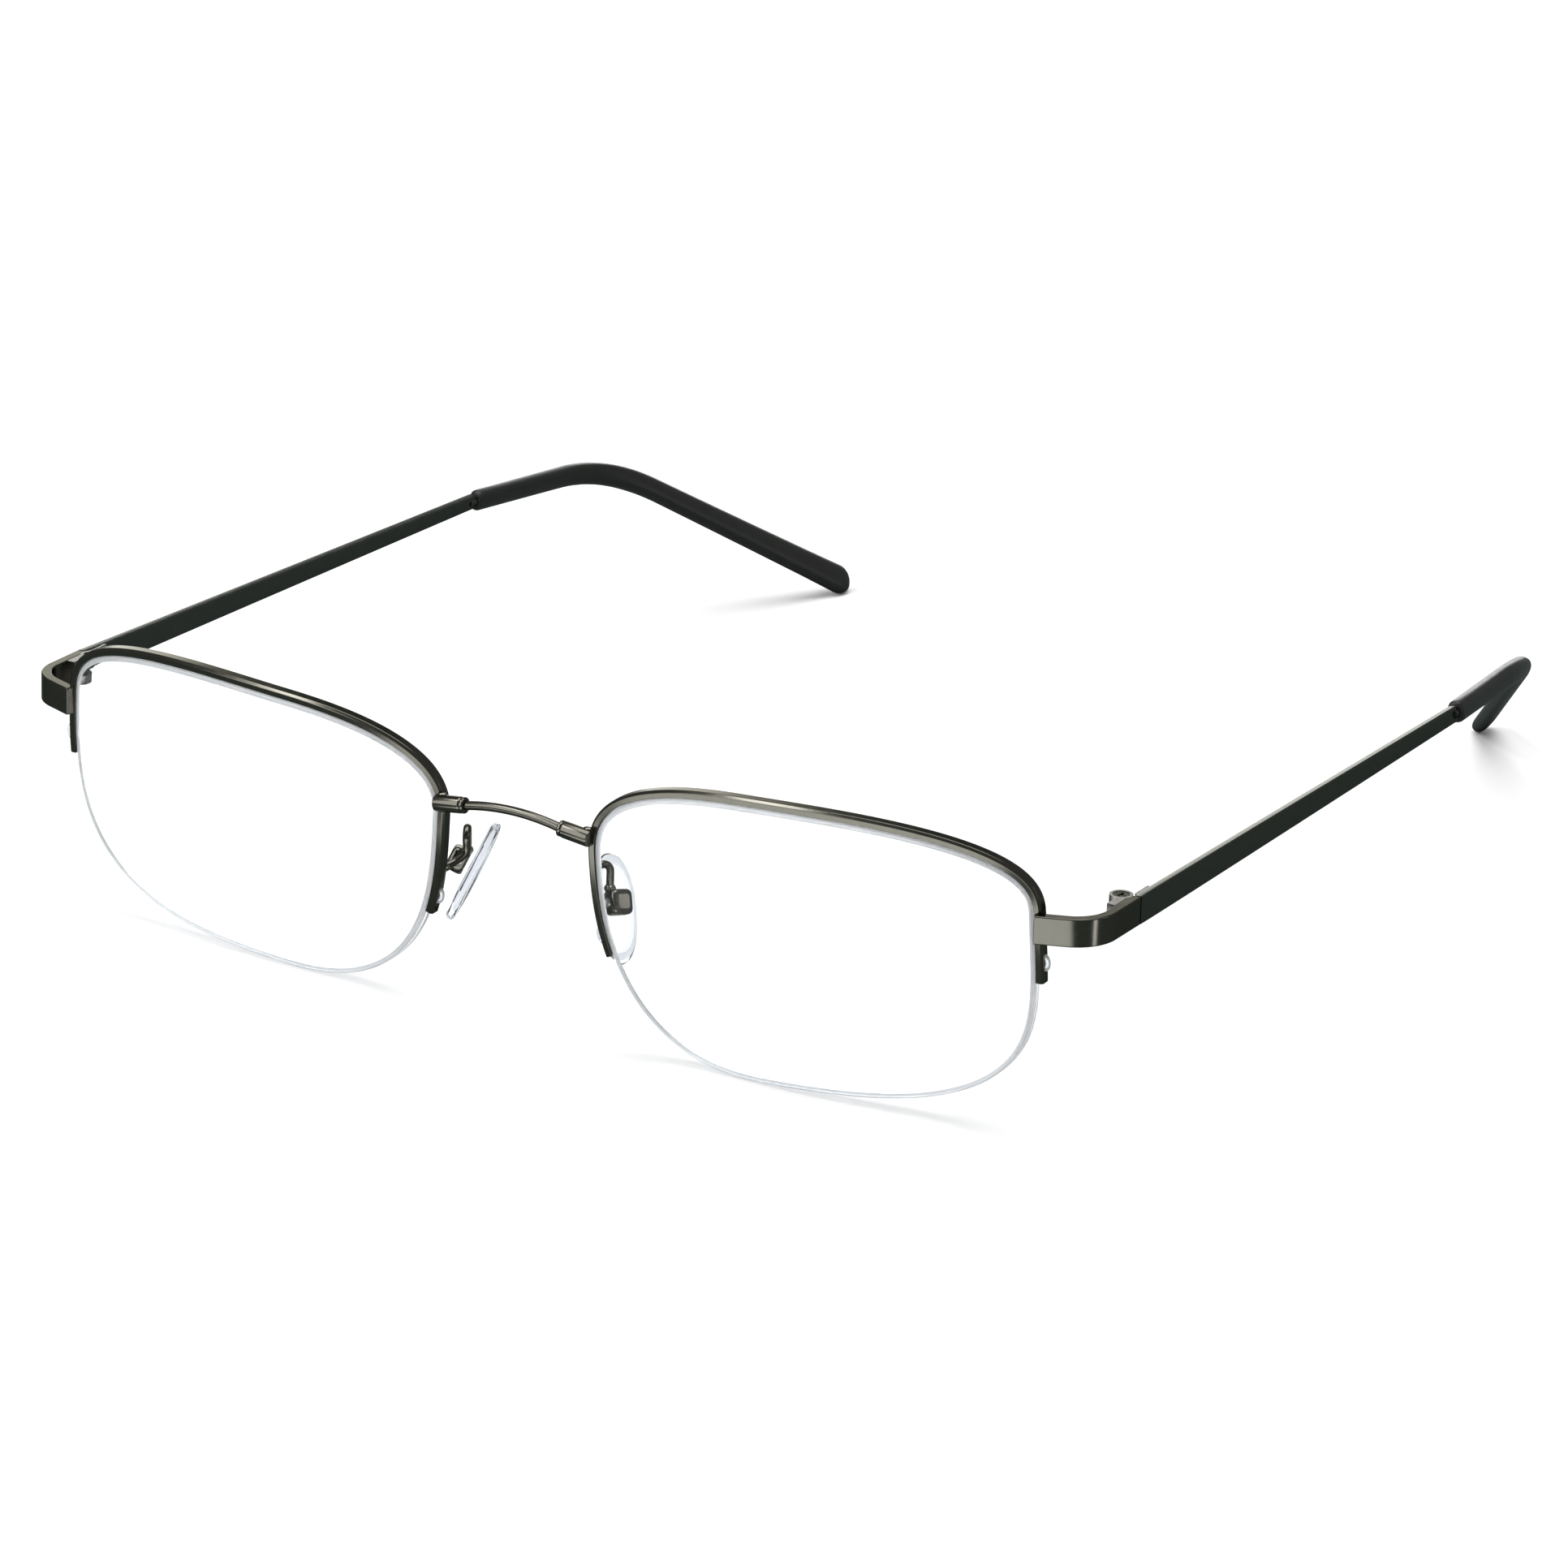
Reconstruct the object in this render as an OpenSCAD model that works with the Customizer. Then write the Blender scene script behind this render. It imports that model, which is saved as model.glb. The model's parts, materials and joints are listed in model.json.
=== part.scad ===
// Reading glasses with half rims: a wire bridge, grooved rims over the top of
// each lens, a clear cord round the bottom, folding temples and rocking pads.
// The glasses stand on the lens bottoms and the temple tips.
// +X is the right lens as seen from the front, +Y runs back along the temples.

/* [Lens] */
// Space between the two lenses at the nose
lens_gap = 18.8; // [14:0.2:24]
// Reach of a lens from its centre towards the nose
lens_in = 19; // [17:0.1:21]
// Reach of a lens from its centre towards the temple
lens_out = 28.5; // [26:0.1:31]
// Reach of a lens above its centre
lens_up = 8.6; // [7.5:0.1:11]
// Reach of a lens below its centre
lens_down = 21.8; // [20:0.1:25]
// Turn of the lens outline, which lifts the outer side
lens_turn = 3.1; // [0:0.1:6]
// Squareness of the outer top corner, 2 is round
square_top_out = 2.35; // [2:0.05:4]
// Squareness of the inner top corner
square_top_in = 2.4; // [2:0.05:4]
// Squareness of the inner bottom corner
square_low_in = 2.6; // [2:0.05:4]
// Squareness of the outer bottom corner
square_low_out = 3.6; // [2:0.05:4]
// Radius of the front surface of the lens
lens_front_r = 71; // [62:1:120]
// Radius of the back surface of the lens
lens_back_r = 80; // [72:1:160]
// Thickness of the lens at its centre
lens_thick = 2.1; // [1.9:0.05:3.5]
// Width of the groove in the lens edge
groove_w = 0.6; // [0.5:0.05:0.7]
// Depth of the groove in the lens edge
groove_d = 0.6; // [0.5:0.05:0.8]

/* [Front] */
// Lean of the front, top forward
front_tilt = 1.6; // [0:0.1:8]
// Turn of each lens towards the side of the head
front_wrap = 1.1; // [0:0.1:5]

/* [Rim] */
// Width of the rim seen from the front
rim_w = 0.8; // [0.7:0.05:1.2]
// Depth of the rim from front to back
rim_d = 1.3; // [1.2:0.05:1.6]
// Space between the lens edge and the rim
rim_gap = 0.1; // [0.05:0.01:0.2]
// Depth of the groove inside the rim
rim_groove_d = 0.3; // [0.2:0.05:0.4]
// Slope along the front outer edge of the rim
rim_flat = 0.24; // [0.1:0.02:0.3]
// Angle on the lens outline where the rim ends at the temple side
rim_end_out = -18.4; // [-30:0.1:-12]
// Angle on the lens outline where the rim ends at the nose
rim_end_in = 208; // [200:0.5:220]

/* [Cord] */
// Diameter of the clear cord
cord_d = 0.5; // [0.4:0.05:0.55]
// Distance from the end of the rim to the first cord hole
cord_hole_at = 1.5; // [1:0.1:2]
// Distance between the two cord holes
cord_hole_step = 1.3; // [1.2:0.1:2]
// How far a cord loop's middle stands off the rim
cord_lift = 0.32; // [0.3:0.02:0.8]
// Radial space round the cord in its hole
cord_space = 0.05; // [0.03:0.01:0.1]

/* [Bridge] */
// Diameter of the bridge wire
bridge_d = 0.95; // [0.8:0.05:1.4]
// Diameter of the sleeves on the bridge wire
sleeve_d = 1.75; // [1.5:0.05:2.4]
// Length of a sleeve
sleeve_len = 3.6; // [3:0.1:5]
// Height of the sleeves above the lens centre
sleeve_up = 0.85; // [0:0.1:3]
// Slope of a sleeve, rising to the middle
sleeve_slope = 7; // [2:0.5:12]
// Rise of the bridge wire's arch between the sleeves
bridge_rise = 0.6; // [0.2:0.1:2]
// Depth of the brazed seat of a sleeve in the rim
sleeve_seat = 0.35; // [0.2:0.05:0.5]

/* [Endpieces] */
// Height of the endpiece strip
strip_h = 2.95; // [2.8:0.1:4]
// Thickness of the endpiece strip
strip_t = 1.1; // [0.9:0.05:1.3]
// Height of the strip's top edge above the lens centre
strip_up = 2; // [1:0.05:3]
// How far the strip's outer face stands outside the rim
strip_out = 5.8; // [5.2:0.05:8]
// Radius of the bend, on the outer face
bend_r = 4.8; // [4:0.1:5]
// Angle of the strip beside the rim, sloping back
strip_slope = 21; // [15:1:28]
// How far back from the rim's front the strip ends
strip_back = 9.9; // [9:0.1:14]

/* [Hinges] */
// Distance from the strip's outer face to the hinge axis
hinge_in = 2.05; // [2.05:0.05:3]
// Distance from the seam to the hinge axis
hinge_ahead = 0.35; // [0.3:0.05:0.6]
// Radius of the outer knuckles
knuckle_r = 1.2; // [1.1:0.05:1.25]
// Radius of the middle knuckle
mid_knuckle_r = 0.85; // [0.75:0.05:0.9]
// Radius of the hinge screw
screw_r = 0.45; // [0.35:0.05:0.5]
// Radius of the hinge screw's head
screw_head_r = 0.85; // [0.7:0.05:0.9]
// Running space round the hinge screw
hinge_space = 0.04; // [0.02:0.01:0.08]
// Length of the front hinge leaf
leaf_front_len = 3.1; // [3:0.1:5]
// Length of the temple hinge leaf
leaf_back_len = 2.6; // [2.5:0.1:5]

/* [Temples] */
// Length of the metal strip from the seam to the tip
temple_len = 73.8; // [65:0.5:90]
// Thickness of the temple strip
temple_t = 0.8; // [0.7:0.05:0.8]
// Height of the temple strip at its back end
temple_end_h = 1.7; // [1.5:0.05:2.8]
// How far the temple comes in over its length
temple_toe_in = 1.5; // [0:0.1:4]
// How far the temple drops over its length
temple_drop = 1.4; // [0:0.1:3]
// Twist of the strip over its length, top inwards
temple_twist = 13; // [0:1:20]
// Radius of the core wire in the tip
core_r = 0.6; // [0.5:0.05:0.7]
// Length of the core wire in the tip
core_len = 14; // [8:0.5:18]
// Length of the bare neck between strip and tip
neck_len = 0.6; // [0.4:0.1:2]

/* [Tips] */
// Thickness of a tip
tip_t = 1.8; // [1.6:0.1:2.4]
// Height of a tip where it starts
tip_start_h = 2.4; // [2.2:0.1:3]
// Height of a tip near its end
tip_end_h = 3.7; // [3:0.1:5]
// Twist of the tip at its end, top outwards
tip_twist = 43; // [0:1:50]
// Distance back from the start of the tip to its bend
knee_back = 24.2; // [18:0.2:30]
// Distance the tip comes in before its bend
knee_in = 2.7; // [1:0.1:5]
// Drop of the tip before its bend
knee_drop = 1.5; // [0.5:0.1:3]
// Distance back from the bend to the end
end_back = 27.6; // [22:0.5:36]
// Distance the tip comes in after its bend
end_in = 17.4; // [8:0.2:20]
// Length of tip that the bend takes on each side
knee_reach = 8; // [5:0.5:10]

/* [Nose pads] */
// Length of a nose pad
pad_len = 11.2; // [10:0.2:14]
// Width of a nose pad
pad_w = 5; // [4.6:0.2:8]
// Thickness of a nose pad
pad_t = 1.2; // [1.1:0.1:2]
// Distance of a pad's middle from the middle of the glasses
pad_x = 8.7; // [8.5:0.1:12]
// Distance of a pad's middle behind the front
pad_y = 8.4; // [8:0.1:11]
// Height of a pad's middle below the lens centre
pad_down = 8.5; // [7:0.1:11]
// Turn of a pad about the upright axis
pad_splay = 22; // [15:1:30]
// Lean of a pad, tops together
pad_flare = 24.5; // [10:0.5:28]
// Lean of a pad's length, top back
pad_pitch = 10; // [0:1:16]
// Height of the pad's screw above the pad's middle
pad_screw_up = 0.5; // [0:0.1:2]
// Distance of the pad's screw ahead of the pad's middle
pad_screw_ahead = 0.5; // [0:0.1:1]
// Radius of the pad screw
pad_screw_r = 0.33; // [0.25:0.01:0.36]
// Diameter of the pad arm's wire
arm_d = 0.8; // [0.7:0.05:1]
// Distance between the two legs of the pad arm's loop
arm_span = 1.9; // [1.6:0.05:2.4]
// Turn of the loop from straight across
arm_turn = 62; // [45:1:75]
// Height of the loop above the lens centre's level, downwards
loop_down = 4.2; // [3:0.1:5]

/* [Hidden] */
round_fn = 48;
slip = 0.03;
tiny = 0.01;

metal = [0.42, 0.41, 0.38];
steel = [0.55, 0.54, 0.52];
black = [0.09, 0.1, 0.09];
clear = [0.85, 0.9, 0.92, 0.5];
milk = [0.88, 0.92, 0.88, 0.8];

// A closed outline of four quarter curves, each with its own reach and squareness
function quarter_reach(turn, low, high) = turn > 0 ? high : low;
function quarter_square(c, s, q) =
    c > 0 ? (s > 0 ? q[0] : q[3]) : (s > 0 ? q[1] : q[2]);
function quarter_point(t, a_in, a_out, b_up, b_down, q) =
    let (c = cos(t), s = sin(t), e = quarter_square(c, s, q))
    let (r = pow(pow(abs(c), e) + pow(abs(s), e), -1 / e))
    [quarter_reach(c, a_in, a_out) * c * r, quarter_reach(s, b_down, b_up) * s * r];

// The lens outline, turned about the lens centre
lens_square = [square_top_out, square_top_in, square_low_in, square_low_out];
function turned(p, a) = [p[0] * cos(a) - p[1] * sin(a), p[0] * sin(a) + p[1] * cos(a)];
function lens_point(t) =
    turned(quarter_point(t, lens_in, lens_out, lens_up, lens_down, lens_square), lens_turn);
function lens_normal(t) =
    let (d = lens_point(t + 0.5) - lens_point(t - 0.5))
    [d[1], -d[0]] / norm(d);
function lens_offset(t, out) = lens_point(t) + out * lens_normal(t);

// Depth of the lens surfaces behind the lens centre's front
function sag(p, r) = r - sqrt(r * r - p[0] * p[0] - p[1] * p[1]);
function front_depth(p) = sag(p, lens_front_r);
function back_depth(p) = lens_thick + sag(p, lens_back_r);
function edge_thick(t) = back_depth(lens_point(t)) - front_depth(lens_point(t));
groove_mid = rim_d / 2;

// Length along the lens outline, counted from the temple side upwards
trace_step = 3;
trace_from = -90;
trace_to = 390;
trace = [for (t = [trace_from:trace_step:trace_to]) t];
function run_to(i) =
    i == 0 ? [0] :
    let (before = run_to(i - 1))
    concat(before, [before[i - 1] + norm(lens_point(trace[i]) - lens_point(trace[i - 1]))]);
trace_run = run_to(len(trace) - 1);
run_of_angle = [for (i = [0:len(trace) - 1]) [trace[i], trace_run[i]]];
angle_of_run = [for (i = [0:len(trace) - 1]) [trace_run[i], trace[i]]];
function run_at(t) = lookup(t, run_of_angle);
function angle_at(s) = lookup(s, angle_of_run);

// Where the lens stands: its lowest edge is at height zero
function leaned(p) =
    let (x = p[0] * cos(front_wrap) - p[1] * sin(front_wrap))
    let (y = p[0] * sin(front_wrap) + p[1] * cos(front_wrap))
    [x, y * cos(front_tilt) - p[2] * sin(front_tilt), p[2] * cos(front_tilt) + y * sin(front_tilt)];
function edge_place(t) =
    let (p = lens_point(t))
    leaned([p[0], front_depth(p), p[1]]);
lens_z = -min([for (t = [180:2:360]) edge_place(t)[2]]);
lens_x = lens_gap / 2 + lens_in;
function rim_place(t, out, depth) =
    let (p = lens_offset(t, out))
    [lens_x, 0, lens_z] + leaned([p[0], front_depth(lens_point(t)) + depth, p[1]]);

// Places on the front that the other pieces take up
rim_in = rim_gap;
rim_out = rim_gap + rim_w;
outer_seat = rim_place(0, rim_out, 0);
strip_top = lens_z + strip_up;
strip_low = strip_top - strip_h;
strip_mid = (strip_top + strip_low) / 2;
strip_face_x = outer_seat[0] + strip_out;
seam_y = outer_seat[1] + strip_back;
hinge_x = strip_face_x - hinge_in;
hinge_y = seam_y - hinge_ahead;
seam_gap = 0.1;
temple_y = seam_y + seam_gap;

// The temple's end and the tip's bend and end
temple_end = [strip_face_x - temple_t / 2 - temple_toe_in, temple_y + temple_len, strip_mid - temple_drop];
knee = temple_end + [-knee_in, knee_back, -knee_drop];
tip_sides = 16;
round_len = tip_end_h * 0.5;
end_guess = unit([-end_in, end_back, tip_end_h / 4 - knee[2]]);
tip_end_z = -min([for (r = tip_round([0, 0, 0], end_guess), p = r) p[2]]);
tip_end = [knee[0] - end_in, knee[1] + end_back, tip_end_z];
total_back = tip_end[1] + round_len * 0.25;

function unit(v) = v / norm(v);
tip_line = unit(knee - temple_end);
tip_start = temple_end + neck_len * tip_line;
end_line = unit(tip_end - knee);

module stand() translate([0, -total_back / 2, 0]) children();
module side(s) stand() mirror([s < 0 ? 1 : 0, 0, 0]) children();
module lens_frame() translate([lens_x, 0, lens_z]) rotate([front_tilt, 0, 0]) rotate([0, 0, front_wrap]) children();

// A solid skin over rings of points, with flat ends
function ring_faces(n, m) = [
    for (i = [0:m - 2], j = [0:n - 1])
        let (a = i * n + j, b = i * n + (j + 1) % n, c = a + n, d = b + n)
        each [[a, c, d], [a, d, b]]
];
function whole_end(n) = [[for (j = [0:n - 1]) j]];
module skin(rings, end_faces = undef) {
    n = len(rings[0]);
    m = len(rings);
    low_end = is_undef(end_faces) ? whole_end(n) : end_faces;
    high_end = [for (f = low_end) [for (j = [len(f) - 1:-1:0]) (m - 1) * n + f[j]]];
    polyhedron(points = [for (r = rings) each r], faces = concat(low_end, ring_faces(n, m), high_end));
}

// A skin closed to one point at each end
module capped_skin(first, rings, last) {
    n = len(rings[0]);
    m = len(rings);
    points = concat([for (r = rings) each r], [first, last]);
    low_end = [for (j = [0:n - 1]) [n * m, j, (j + 1) % n]];
    high_end = [for (j = [0:n - 1]) [n * m + 1, (m - 1) * n + (j + 1) % n, (m - 1) * n + j]];
    polyhedron(points = points, faces = concat(low_end, ring_faces(n, m), high_end));
}

// A round wire along points, with one fixed side direction
function wire_ring(p, along, across, r, sides) =
    let (u = unit(cross(along, across)), v = unit(cross(along, u)))
    [for (k = [0:sides - 1]) p + r * (cos(360 * k / sides) * u + sin(360 * k / sides) * v)];
function wire_along(path, i) =
    let (a = max(i - 1, 0), b = min(i + 1, len(path) - 1))
    unit(path[b] - path[a]);
function wire_rings(path, across, r, sides) =
    [for (i = [0:len(path) - 1]) wire_ring(path[i], wire_along(path, i), across, r, sides)];

// A strip that follows the lens outline with one section, given as [out, depth] pairs
function rim_ring(t, section) = [
    for (q = section)
        let (p = lens_offset(t, q[0]))
        [p[0], front_depth(lens_point(t)) + q[1], p[1]]
];
function rim_rings(s_from, s_to, count, section) = [
    for (i = [0:count])
        rim_ring(angle_at(s_from + (s_to - s_from) * i / count), section)
];

rim_run_out = run_at(rim_end_out);
rim_run_in = run_at(rim_end_in);
cord_leave = cord_hole_at + cord_hole_step;
liner_start = cord_leave + cord_d;

// Rim: a grooved wire over the top of the lens, open at the bottom
rim_steps = 64;
module eyewire() {
    g = rim_in + rim_groove_d;
    low = groove_mid - groove_w / 2;
    high = groove_mid + groove_w / 2;
    soft = rim_flat / 2;
    section = [
        [rim_in, 0], [rim_out - rim_flat, 0], [rim_out, rim_flat], [rim_out, rim_d - soft],
        [rim_out - soft, rim_d], [rim_in, rim_d], [rim_in, high], [g, high], [g, low], [rim_in, low]
    ];
    end_faces = [[0, 1, 8, 9], [1, 2, 3, 4, 7, 8], [4, 5, 6, 7]];
    lens_frame() difference() {
        skin(rim_rings(rim_run_out, rim_run_in, rim_steps, section), end_faces);
        for (s = cord_hole_runs) cord_hole(s, cord_d / 2 + cord_space);
    }
}

// The four holes that the cord goes through, two near each end of the rim
cord_hole_runs = [
    rim_run_out + cord_hole_at, rim_run_out + cord_leave,
    rim_run_in - cord_hole_at, rim_run_in - cord_leave
];
module at_rim(s) {
    t = angle_at(s);
    p = lens_point(t);
    v = lens_normal(t);
    translate([p[0], front_depth(p) + groove_mid, p[1]]) rotate([0, 90 - atan2(v[1], v[0]), 0]) children();
}
module cord_hole(s, r) {
    at_rim(s) cylinder(h = rim_out + cord_d, r = r, $fn = 24);
}

// Liner: a clear strip that fills the rim's groove and reaches into the lens groove
liner_steps = 52;
module rim_liner() {
    low = groove_mid - groove_w / 2 + slip;
    high = groove_mid + groove_w / 2 - slip;
    outside = rim_in + rim_groove_d - slip;
    section = [[slip - groove_d, low], [outside, low], [outside, high], [slip - groove_d, high]];
    lens_frame()
        skin(rim_rings(rim_run_out + liner_start, rim_run_in - liner_start, liner_steps, section));
}

// Lens: two curved faces and a grooved edge
lens_sides = 88;
lens_steps = 4;
function lens_ring(scale_by, back) = [
    for (k = [0:lens_sides - 1])
        let (p = scale_by * lens_point(-360 * k / lens_sides))
        [p[0], back ? back_depth(p) : front_depth(p), p[1]]
];
function lens_edge_ring(out, depth) = [
    for (k = [0:lens_sides - 1])
        let (t = -360 * k / lens_sides, p = lens_offset(t, out))
        [p[0], front_depth(lens_point(t)) + depth, p[1]]
];
module lens() {
    low = groove_mid - groove_w / 2;
    high = groove_mid + groove_w / 2;
    front_rings = [for (i = [1:lens_steps]) lens_ring(i / lens_steps, false)];
    edge_rings = [lens_edge_ring(0, low), lens_edge_ring(-groove_d, low), lens_edge_ring(-groove_d, high), lens_edge_ring(0, high)];
    back_rings = [for (i = [lens_steps:-1:1]) lens_ring(i / lens_steps, true)];
    lens_frame() capped_skin([0, 0, 0], concat(front_rings, edge_rings, back_rings), [0, lens_thick, 0]);
}

// Cord: it lies in the lens groove, and at each end it goes out through one hole
// of the rim and back in through the next
cord_steps = 50;
cord_sides = 6;
cord_seat = cord_d / 2 + slip - groove_d;
function rim_point(s, out) =
    let (t = angle_at(s), p = lens_offset(t, out))
    [p[0], front_depth(lens_point(t)) + groove_mid, p[1]];
function cord_loop(near, far) =
    let (r = abs(far - near) / 2, mid = (near + far) / 2, way = sign(far - near), soft = cord_d * 0.6)
    concat(
        [for (a = [0:30:90]) [near + way * soft * (sin(a) - 1), cord_seat + soft * (1 - cos(a))]],
        [for (a = [0:20:180]) [mid - way * r * cos(a), rim_out + cord_lift * sin(a)]],
        [[far, cord_seat]]
    );
module lens_cord() {
    in_loop = cord_loop(rim_run_in - cord_hole_at, rim_run_in - cord_leave);
    out_end = run_at(rim_end_out + 360);
    out_loop = cord_loop(out_end + cord_hole_at, out_end + cord_leave);
    from = in_loop[0][0];
    to = out_loop[0][0];
    below = [for (i = [1:cord_steps - 1]) [from + (to - from) * i / cord_steps, cord_seat]];
    path = concat([for (i = [len(in_loop) - 1:-1:0]) in_loop[i]], below, out_loop);
    lens_frame() skin(wire_rings([for (q = path) rim_point(q[0], q[1])], [0, 1, 0], cord_d / 2, cord_sides));
}

// Sleeve: a short tube brazed to the front of the rim, with round ends
nose_seat = rim_place(180 - lens_turn, rim_in, 0);
sleeve_end = [nose_seat[0] - rim_w * 0.2, nose_seat[1] - sleeve_d / 2 + sleeve_seat, lens_z + sleeve_up];
sleeve_line = [-cos(sleeve_slope), 0, sin(sleeve_slope)];
sleeve_mouth = sleeve_end + sleeve_len * sleeve_line;
wire_depth = sleeve_len * 0.7;
module bridge_sleeve() {
    r = sleeve_d / 2;
    soft = r * 0.4;
    bore = bridge_d / 2 + slip;
    translate(sleeve_end) rotate([0, sleeve_slope - 90, 0]) rotate_extrude($fn = round_fn) difference() {
        union() {
            translate([0, soft]) square([r, sleeve_len - 2 * soft]);
            square([r - soft, sleeve_len]);
            for (z = [soft, sleeve_len - soft]) translate([r - soft, z]) circle(r = soft, $fn = 32);
        }
        translate([-r, -tiny]) square([r, sleeve_len + 2 * tiny]);
        translate([0, sleeve_len - wire_depth]) square([bore, wire_depth + tiny]);
    }
}

// Bridge wire: a shallow arch from one sleeve to the other
bridge_steps = 20;
bridge_sides = 12;
module bridge_wire() {
    a = sleeve_mouth[0];
    inside = (wire_depth - slip) * sleeve_line;
    arch = [
        for (i = [0:bridge_steps])
            let (x = a * (2 * i / bridge_steps - 1))
            [x, sleeve_mouth[1], sleeve_mouth[2] + bridge_rise * (1 - x * x / (a * a))]
    ];
    left_end = [-sleeve_mouth[0] + inside[0], sleeve_mouth[1], sleeve_mouth[2] - inside[2]];
    right_end = [sleeve_mouth[0] - inside[0], sleeve_mouth[1], sleeve_mouth[2] - inside[2]];
    stand() skin(wire_rings(concat([left_end], arch, [right_end]), [0, 1, 0], bridge_d / 2, bridge_sides));
}

// Endpiece: a flat strip from the rim's outer side, bent back to the hinge
bend_steps = 24;
strip_seat = 0.35;
module endpiece() {
    turn = 90 - strip_slope;
    arc_x = strip_face_x - bend_r;
    start_x = outer_seat[0] - strip_seat;
    bend_x = arc_x + bend_r * sin(strip_slope);
    start_y = outer_seat[1] - strip_t * 0.75;
    bend_y = start_y + (bend_x - start_x) * tan(strip_slope);
    arc_y = bend_y + bend_r * cos(strip_slope);
    function bend(r) = [
        for (i = [0:bend_steps])
            let (a = strip_slope - 90 + turn * i / bend_steps)
            [arc_x + r * cos(a), arc_y + r * sin(a)]
    ];
    inner = bend(bend_r - strip_t);
    outer = concat([[start_x, start_y]], bend(bend_r), [[strip_face_x, seam_y]]);
    back = concat(
        [[strip_face_x - strip_t, seam_y]],
        [for (i = [bend_steps:-1:0]) inner[i]],
        [[start_x - strip_t * sin(strip_slope), start_y + strip_t * cos(strip_slope)]]
    );
    translate([0, 0, strip_low]) linear_extrude(strip_h) polygon(concat(outer, back));
}

// Hinge: two knuckles on the front, one on the temple, and a screw through them
joint_gap = 0.05;
knuckle_h = (strip_h - 2 * joint_gap) / 3;
mid_low = strip_low + knuckle_h + joint_gap;
head_h = knuckle_h * 0.35;
module front_hinge() {
    inner_x = strip_face_x - strip_t;
    leaf_x = hinge_x + knuckle_r * 0.05;
    difference() {
        union() {
            for (z = [strip_low, strip_top - knuckle_h])
                translate([hinge_x, hinge_y, z]) cylinder(h = knuckle_h, r = knuckle_r, $fn = round_fn);
            translate([leaf_x, hinge_y - leaf_front_len, strip_low]) cube([inner_x - leaf_x, leaf_front_len, strip_h]);
        }
        translate([hinge_x, hinge_y, mid_low - joint_gap])
            cylinder(h = knuckle_h + 2 * joint_gap, r = knuckle_r + tiny, $fn = round_fn);
        translate([hinge_x, hinge_y, strip_low - tiny])
            cylinder(h = strip_h + 2 * tiny, r = screw_r + slip, $fn = round_fn);
        translate([hinge_x, hinge_y, strip_top - head_h - joint_gap])
            cylinder(h = head_h + joint_gap + tiny, r = screw_head_r + slip, $fn = round_fn);
    }
}
module hinge_screw() {
    slot_w = screw_head_r * 0.28;
    slot_len = screw_head_r * 1.3;
    translate([hinge_x, hinge_y, 0]) difference() {
        union() {
            translate([0, 0, strip_low]) cylinder(h = strip_h - head_h - joint_gap, r = screw_r, $fn = round_fn);
            translate([0, 0, strip_top - head_h - joint_gap]) cylinder(h = head_h, r = screw_head_r, $fn = round_fn);
        }
        for (a = [0, 90]) translate([0, 0, strip_top]) rotate([0, 0, a])
            cube([slot_len, slot_w, 2 * (joint_gap + head_h * 0.7)], center = true);
    }
}
module temple_hinge() {
    inner_x = strip_face_x - temple_t;
    leaf_t = (inner_x - hinge_x) * 0.35;
    leaf_y = hinge_y + knuckle_r + seam_gap;
    web_x = hinge_x - mid_knuckle_r * 0.4;
    edge = knuckle_h * 0.15;
    difference() {
        union() {
            translate([hinge_x, hinge_y, mid_low]) cylinder(h = knuckle_h, r = mid_knuckle_r, $fn = round_fn);
            translate([web_x, hinge_y, mid_low])
                cube([mid_knuckle_r, leaf_y - hinge_y + leaf_t, knuckle_h]);
            translate([web_x, leaf_y, mid_low]) cube([inner_x - web_x, leaf_t, knuckle_h]);
            translate([inner_x - leaf_t, leaf_y, strip_low + edge])
                cube([leaf_t, leaf_back_len, strip_h - 2 * edge]);
        }
        translate([hinge_x, hinge_y, mid_low - tiny])
            cylinder(h = knuckle_h + 2 * tiny, r = screw_r + hinge_space, $fn = round_fn);
    }
}

// Temple: a flat strip that narrows and twists, then a round core wire for the tip
temple_steps = 24;
function strip_ring(p, t, h, twist, soft) = [
    for (q = [[-t / 2 + soft, -h / 2], [-t / 2, -h / 2 + soft], [-t / 2, h / 2 - soft], [-t / 2 + soft, h / 2],
              [t / 2 - soft, h / 2], [t / 2, h / 2 - soft], [t / 2, -h / 2 + soft], [t / 2 - soft, -h / 2]])
        let (r = turned(q, twist))
        [p[0] + r[0], p[1], p[2] + r[1]]
];
module temple() {
    start = [strip_face_x - temple_t / 2, temple_y, strip_mid];
    soft = temple_t * 0.12;
    rings = [
        for (i = [0:temple_steps])
            let (f = i / temple_steps, h = strip_h + f * (temple_end_h - strip_h))
            strip_ring(start + f * (temple_end - start), temple_t, h, sqrt(f) * temple_twist, soft)
    ];
    skin(rings);
    along(temple_end, tip_line) translate([0, 0, -core_r]) cylinder(h = core_r + neck_len + core_len, r = core_r, $fn = 32);
}
module along(p, v) {
    translate(p) rotate([0, acos(v[2]), atan2(v[1], v[0])]) children();
}

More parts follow.
